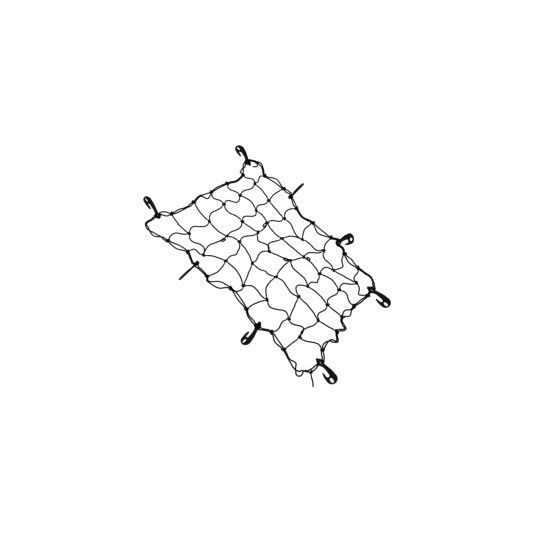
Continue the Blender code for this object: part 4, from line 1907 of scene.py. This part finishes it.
    def crosswise(self, row: int, edges: Ends, cores: list[Vector]) -> CordRoute:
        """A crosswise strand, wound round each lengthwise one that it meets.

        Args:
            row: its number.
            edges: the knots at its ends.
            cores: the level way of the lengthwise strand in each of its inner knots.

        Returns:
            Its route.
        """
        knots, stretches = self.stretches(Way.CROSSWISE, row, edges)
        passes = []
        for i, core in enumerate(cores, start=1):
            side = 1 if (row + i) % 3 else -1
            turns = self.inner_hitch.run(KnotFrame(knots[i], core, left_of(core)), side)
            passes.append((turns, ELASTIC.wound))
        return self.strand(stretches, passes, edges, 1 if row % 2 else -1)

    def tail(self, edge: CordRoute) -> CordRoute:
        """The cut end of the web's own cord, knotted to its edge strand at one corner.

        Args:
            edge: the edge strand's route.

        Returns:
            The cut end's route.
        """
        nearest = edge.nearest(GRID.place(WEB_TAIL_KNOT, ELASTIC.rest_height))
        core = edge.level_way(nearest)
        knot = KnotFrame(edge.points[nearest] + UP * self.tail_rise, core, left_of(core))
        return tied_end(knot, 1, WEB_TAIL)

    def routes(self, border: CordRoute, edge: CordRoute) -> list[CordRoute]:
        """Every cord of the web.

        Args:
            border: the border cord's route.
            edge: the route of the web's own edge strand.

        Returns:
            The edge strand, the lengthwise strands, the crosswise strands and the cut end.
        """
        made = [edge]
        cores: dict[int, list[Vector]] = {row: [] for row in range(1, GRID.cells_along)}
        for strand in range(1, GRID.cells_across):
            ends = tuple(knot_on(GRID.knot(row, strand), border, edge) for row in (0, GRID.cells_along))
            route, ways = self.lengthwise(strand, ends)
            made.append(route)
            for row, way in enumerate(ways, start=1):
                cores[row].append(way)
        for row, ways in cores.items():
            ends = tuple(knot_on(GRID.knot(row, strand), border, edge) for strand in (0, GRID.cells_across))
            made.append(self.crosswise(row, ends, ways))
        return [*made, self.tail(edge)]


def border_routes(border: CordRoute) -> list[CordRoute]:
    """The cord laced round the net, tied to itself at one corner with a free end.

    Args:
        border: its way round the net.

    Returns:
        The closed loop and its tied end.
    """
    tie = next(stop for stop in BORDER if stop.kind is TIE)
    knot = knot_on(GRID.place(tie.place, GRID.knot_height), border)
    return [border, tied_end(knot, -1, TIE_TAIL)]


# ---------------- studio

WHITE = (1.0, 1.0, 1.0, 1.0)


@dataclass(frozen=True)
class SoftLight:
    """A large soft light.

    Attributes:
        name: of the light.
        place: where it stands, in metres.
        size: of its square, in metres.
        power: in watts.
    """

    name: str
    place: tuple[float, float, float]
    size: float
    power: float

    def build(self) -> None:
        """Makes the light, turned to the net."""
        light = bpy.data.lights.new(self.name, "AREA")
        light.size = self.size
        light.energy = self.power
        made = placed(self.name, light)
        made.location = self.place
        made.rotation_euler = (-Vector(self.place)).to_track_quat("-Z", "Y").to_euler()


@dataclass(frozen=True)
class Studio:
    """A plain pale floor, soft light and the camera.

    Attributes:
        camera: its place from the even grid's middle, in millimetres.
        target: what it looks at, on the surface.
        lens: in millimetres, on a sensor of 36 mm.
        floor_size: of the floor, in metres.
        floor_colour: of the floor, which also glows a plain white, as a lit table does.
        floor_glow: the strength of its glow.
        floor_roughness: of the floor.
        floor_specular: how strongly it reflects.
        sky: the strength of the light from all round.
        tone: how the picture's middle tones are set, darker under 1.
        lights: the soft lights beside the net.
    """

    camera: tuple[float, float, float] = (564.0, -553.0, 1613.0)
    target: Pair = (15.1, -38.6)
    lens: float = 40.5
    floor_size: float = 12.0
    floor_colour: Colour = (0.12, 0.12, 0.12, 1)
    floor_glow: float = 0.93
    floor_roughness: float = 0.9
    floor_specular: float = 0.1
    sky: float = 1.0
    tone: float = 0.52
    lights: tuple[SoftLight, ...] = (
        SoftLight("left_window", (-2.2, -1.6, 2.2), 2.4, 60.0),
        SoftLight("right_window", (2.6, 1.2, 2.4), 2.4, 30.0),
    )

    def build_camera(self) -> None:
        """Puts the camera at the photograph's angle."""
        data = bpy.data.cameras.new("camera")
        data.lens = self.lens
        made = placed("camera", data)
        made.location = GRID.place(self.camera[:2], self.camera[2]) * MM
        look = GRID.place(self.target, 0.0) * MM - made.location
        made.rotation_euler = look.to_track_quat("-Z", "Y").to_euler()
        bpy.context.scene.camera = made

    def build_floor(self) -> None:
        """Lays the floor."""
        work = bmesh.new()
        bmesh.ops.create_grid(work, x_segments=1, y_segments=1, size=self.floor_size / 2)
        mesh = bpy.data.meshes.new("floor")
        work.to_mesh(mesh)
        work.free()
        finish = bpy.data.materials.new("plain_pale_floor")
        finish.use_nodes = True
        shader = finish.node_tree.nodes["Principled BSDF"]
        shader.inputs["Base Color"].default_value = self.floor_colour
        shader.inputs["Emission Color"].default_value = WHITE
        shader.inputs["Emission Strength"].default_value = self.floor_glow
        shader.inputs["Roughness"].default_value = self.floor_roughness
        shader.inputs["Specular IOR Level"].default_value = self.floor_specular
        mesh.materials.append(finish)
        placed("floor", mesh)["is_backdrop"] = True

    def build_light(self) -> None:
        """Lights the net from all round, and a little more from its sides."""
        world = bpy.data.worlds.new("soft_sky")
        world.use_nodes = True
        sky = world.node_tree.nodes["Background"]
        sky.inputs["Color"].default_value = WHITE
        sky.inputs["Strength"].default_value = self.sky
        bpy.context.scene.world = world
        bpy.context.scene.view_settings.view_transform = "Standard"
        bpy.context.scene.view_settings.gamma = self.tone
        for light in self.lights:
            light.build()


def main() -> None:
    """Builds the studio, the cords and the hooks, and reports each piece."""
    logging.basicConfig(level=logging.INFO, format="%(message)s")
    studio = Studio()
    studio.build_camera()
    elastic = BraidedElastic().material()
    sealed = SealedElastic().material()
    plastic = MouldedPlastic().material()
    border, edge = EdgePair().cords()
    pieces = [
        CordPiece("knotted_web", "web", Web().routes(border, edge), (elastic, sealed)).build(),
        CordPiece("laced_border", "border_cord", border_routes(border), (elastic, sealed)).build(),
    ]
    pieces += [MouldedHook(name, HookPose(spot), plastic).build() for name, spot in HOOKS.items()]
    for piece in pieces:
        triangles = sum(len(face.vertices) - 2 for face in piece.data.polygons)
        LOG.info("%s: %d triangles", piece.name, triangles)
    studio.build_floor()
    studio.build_light()
    boxes = {"cad": CAD_BOX, "scene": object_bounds()}
    {name: [list(corner) for corner in box] for name, box in boxes.items()}


if __name__ == "__main__":
    main()
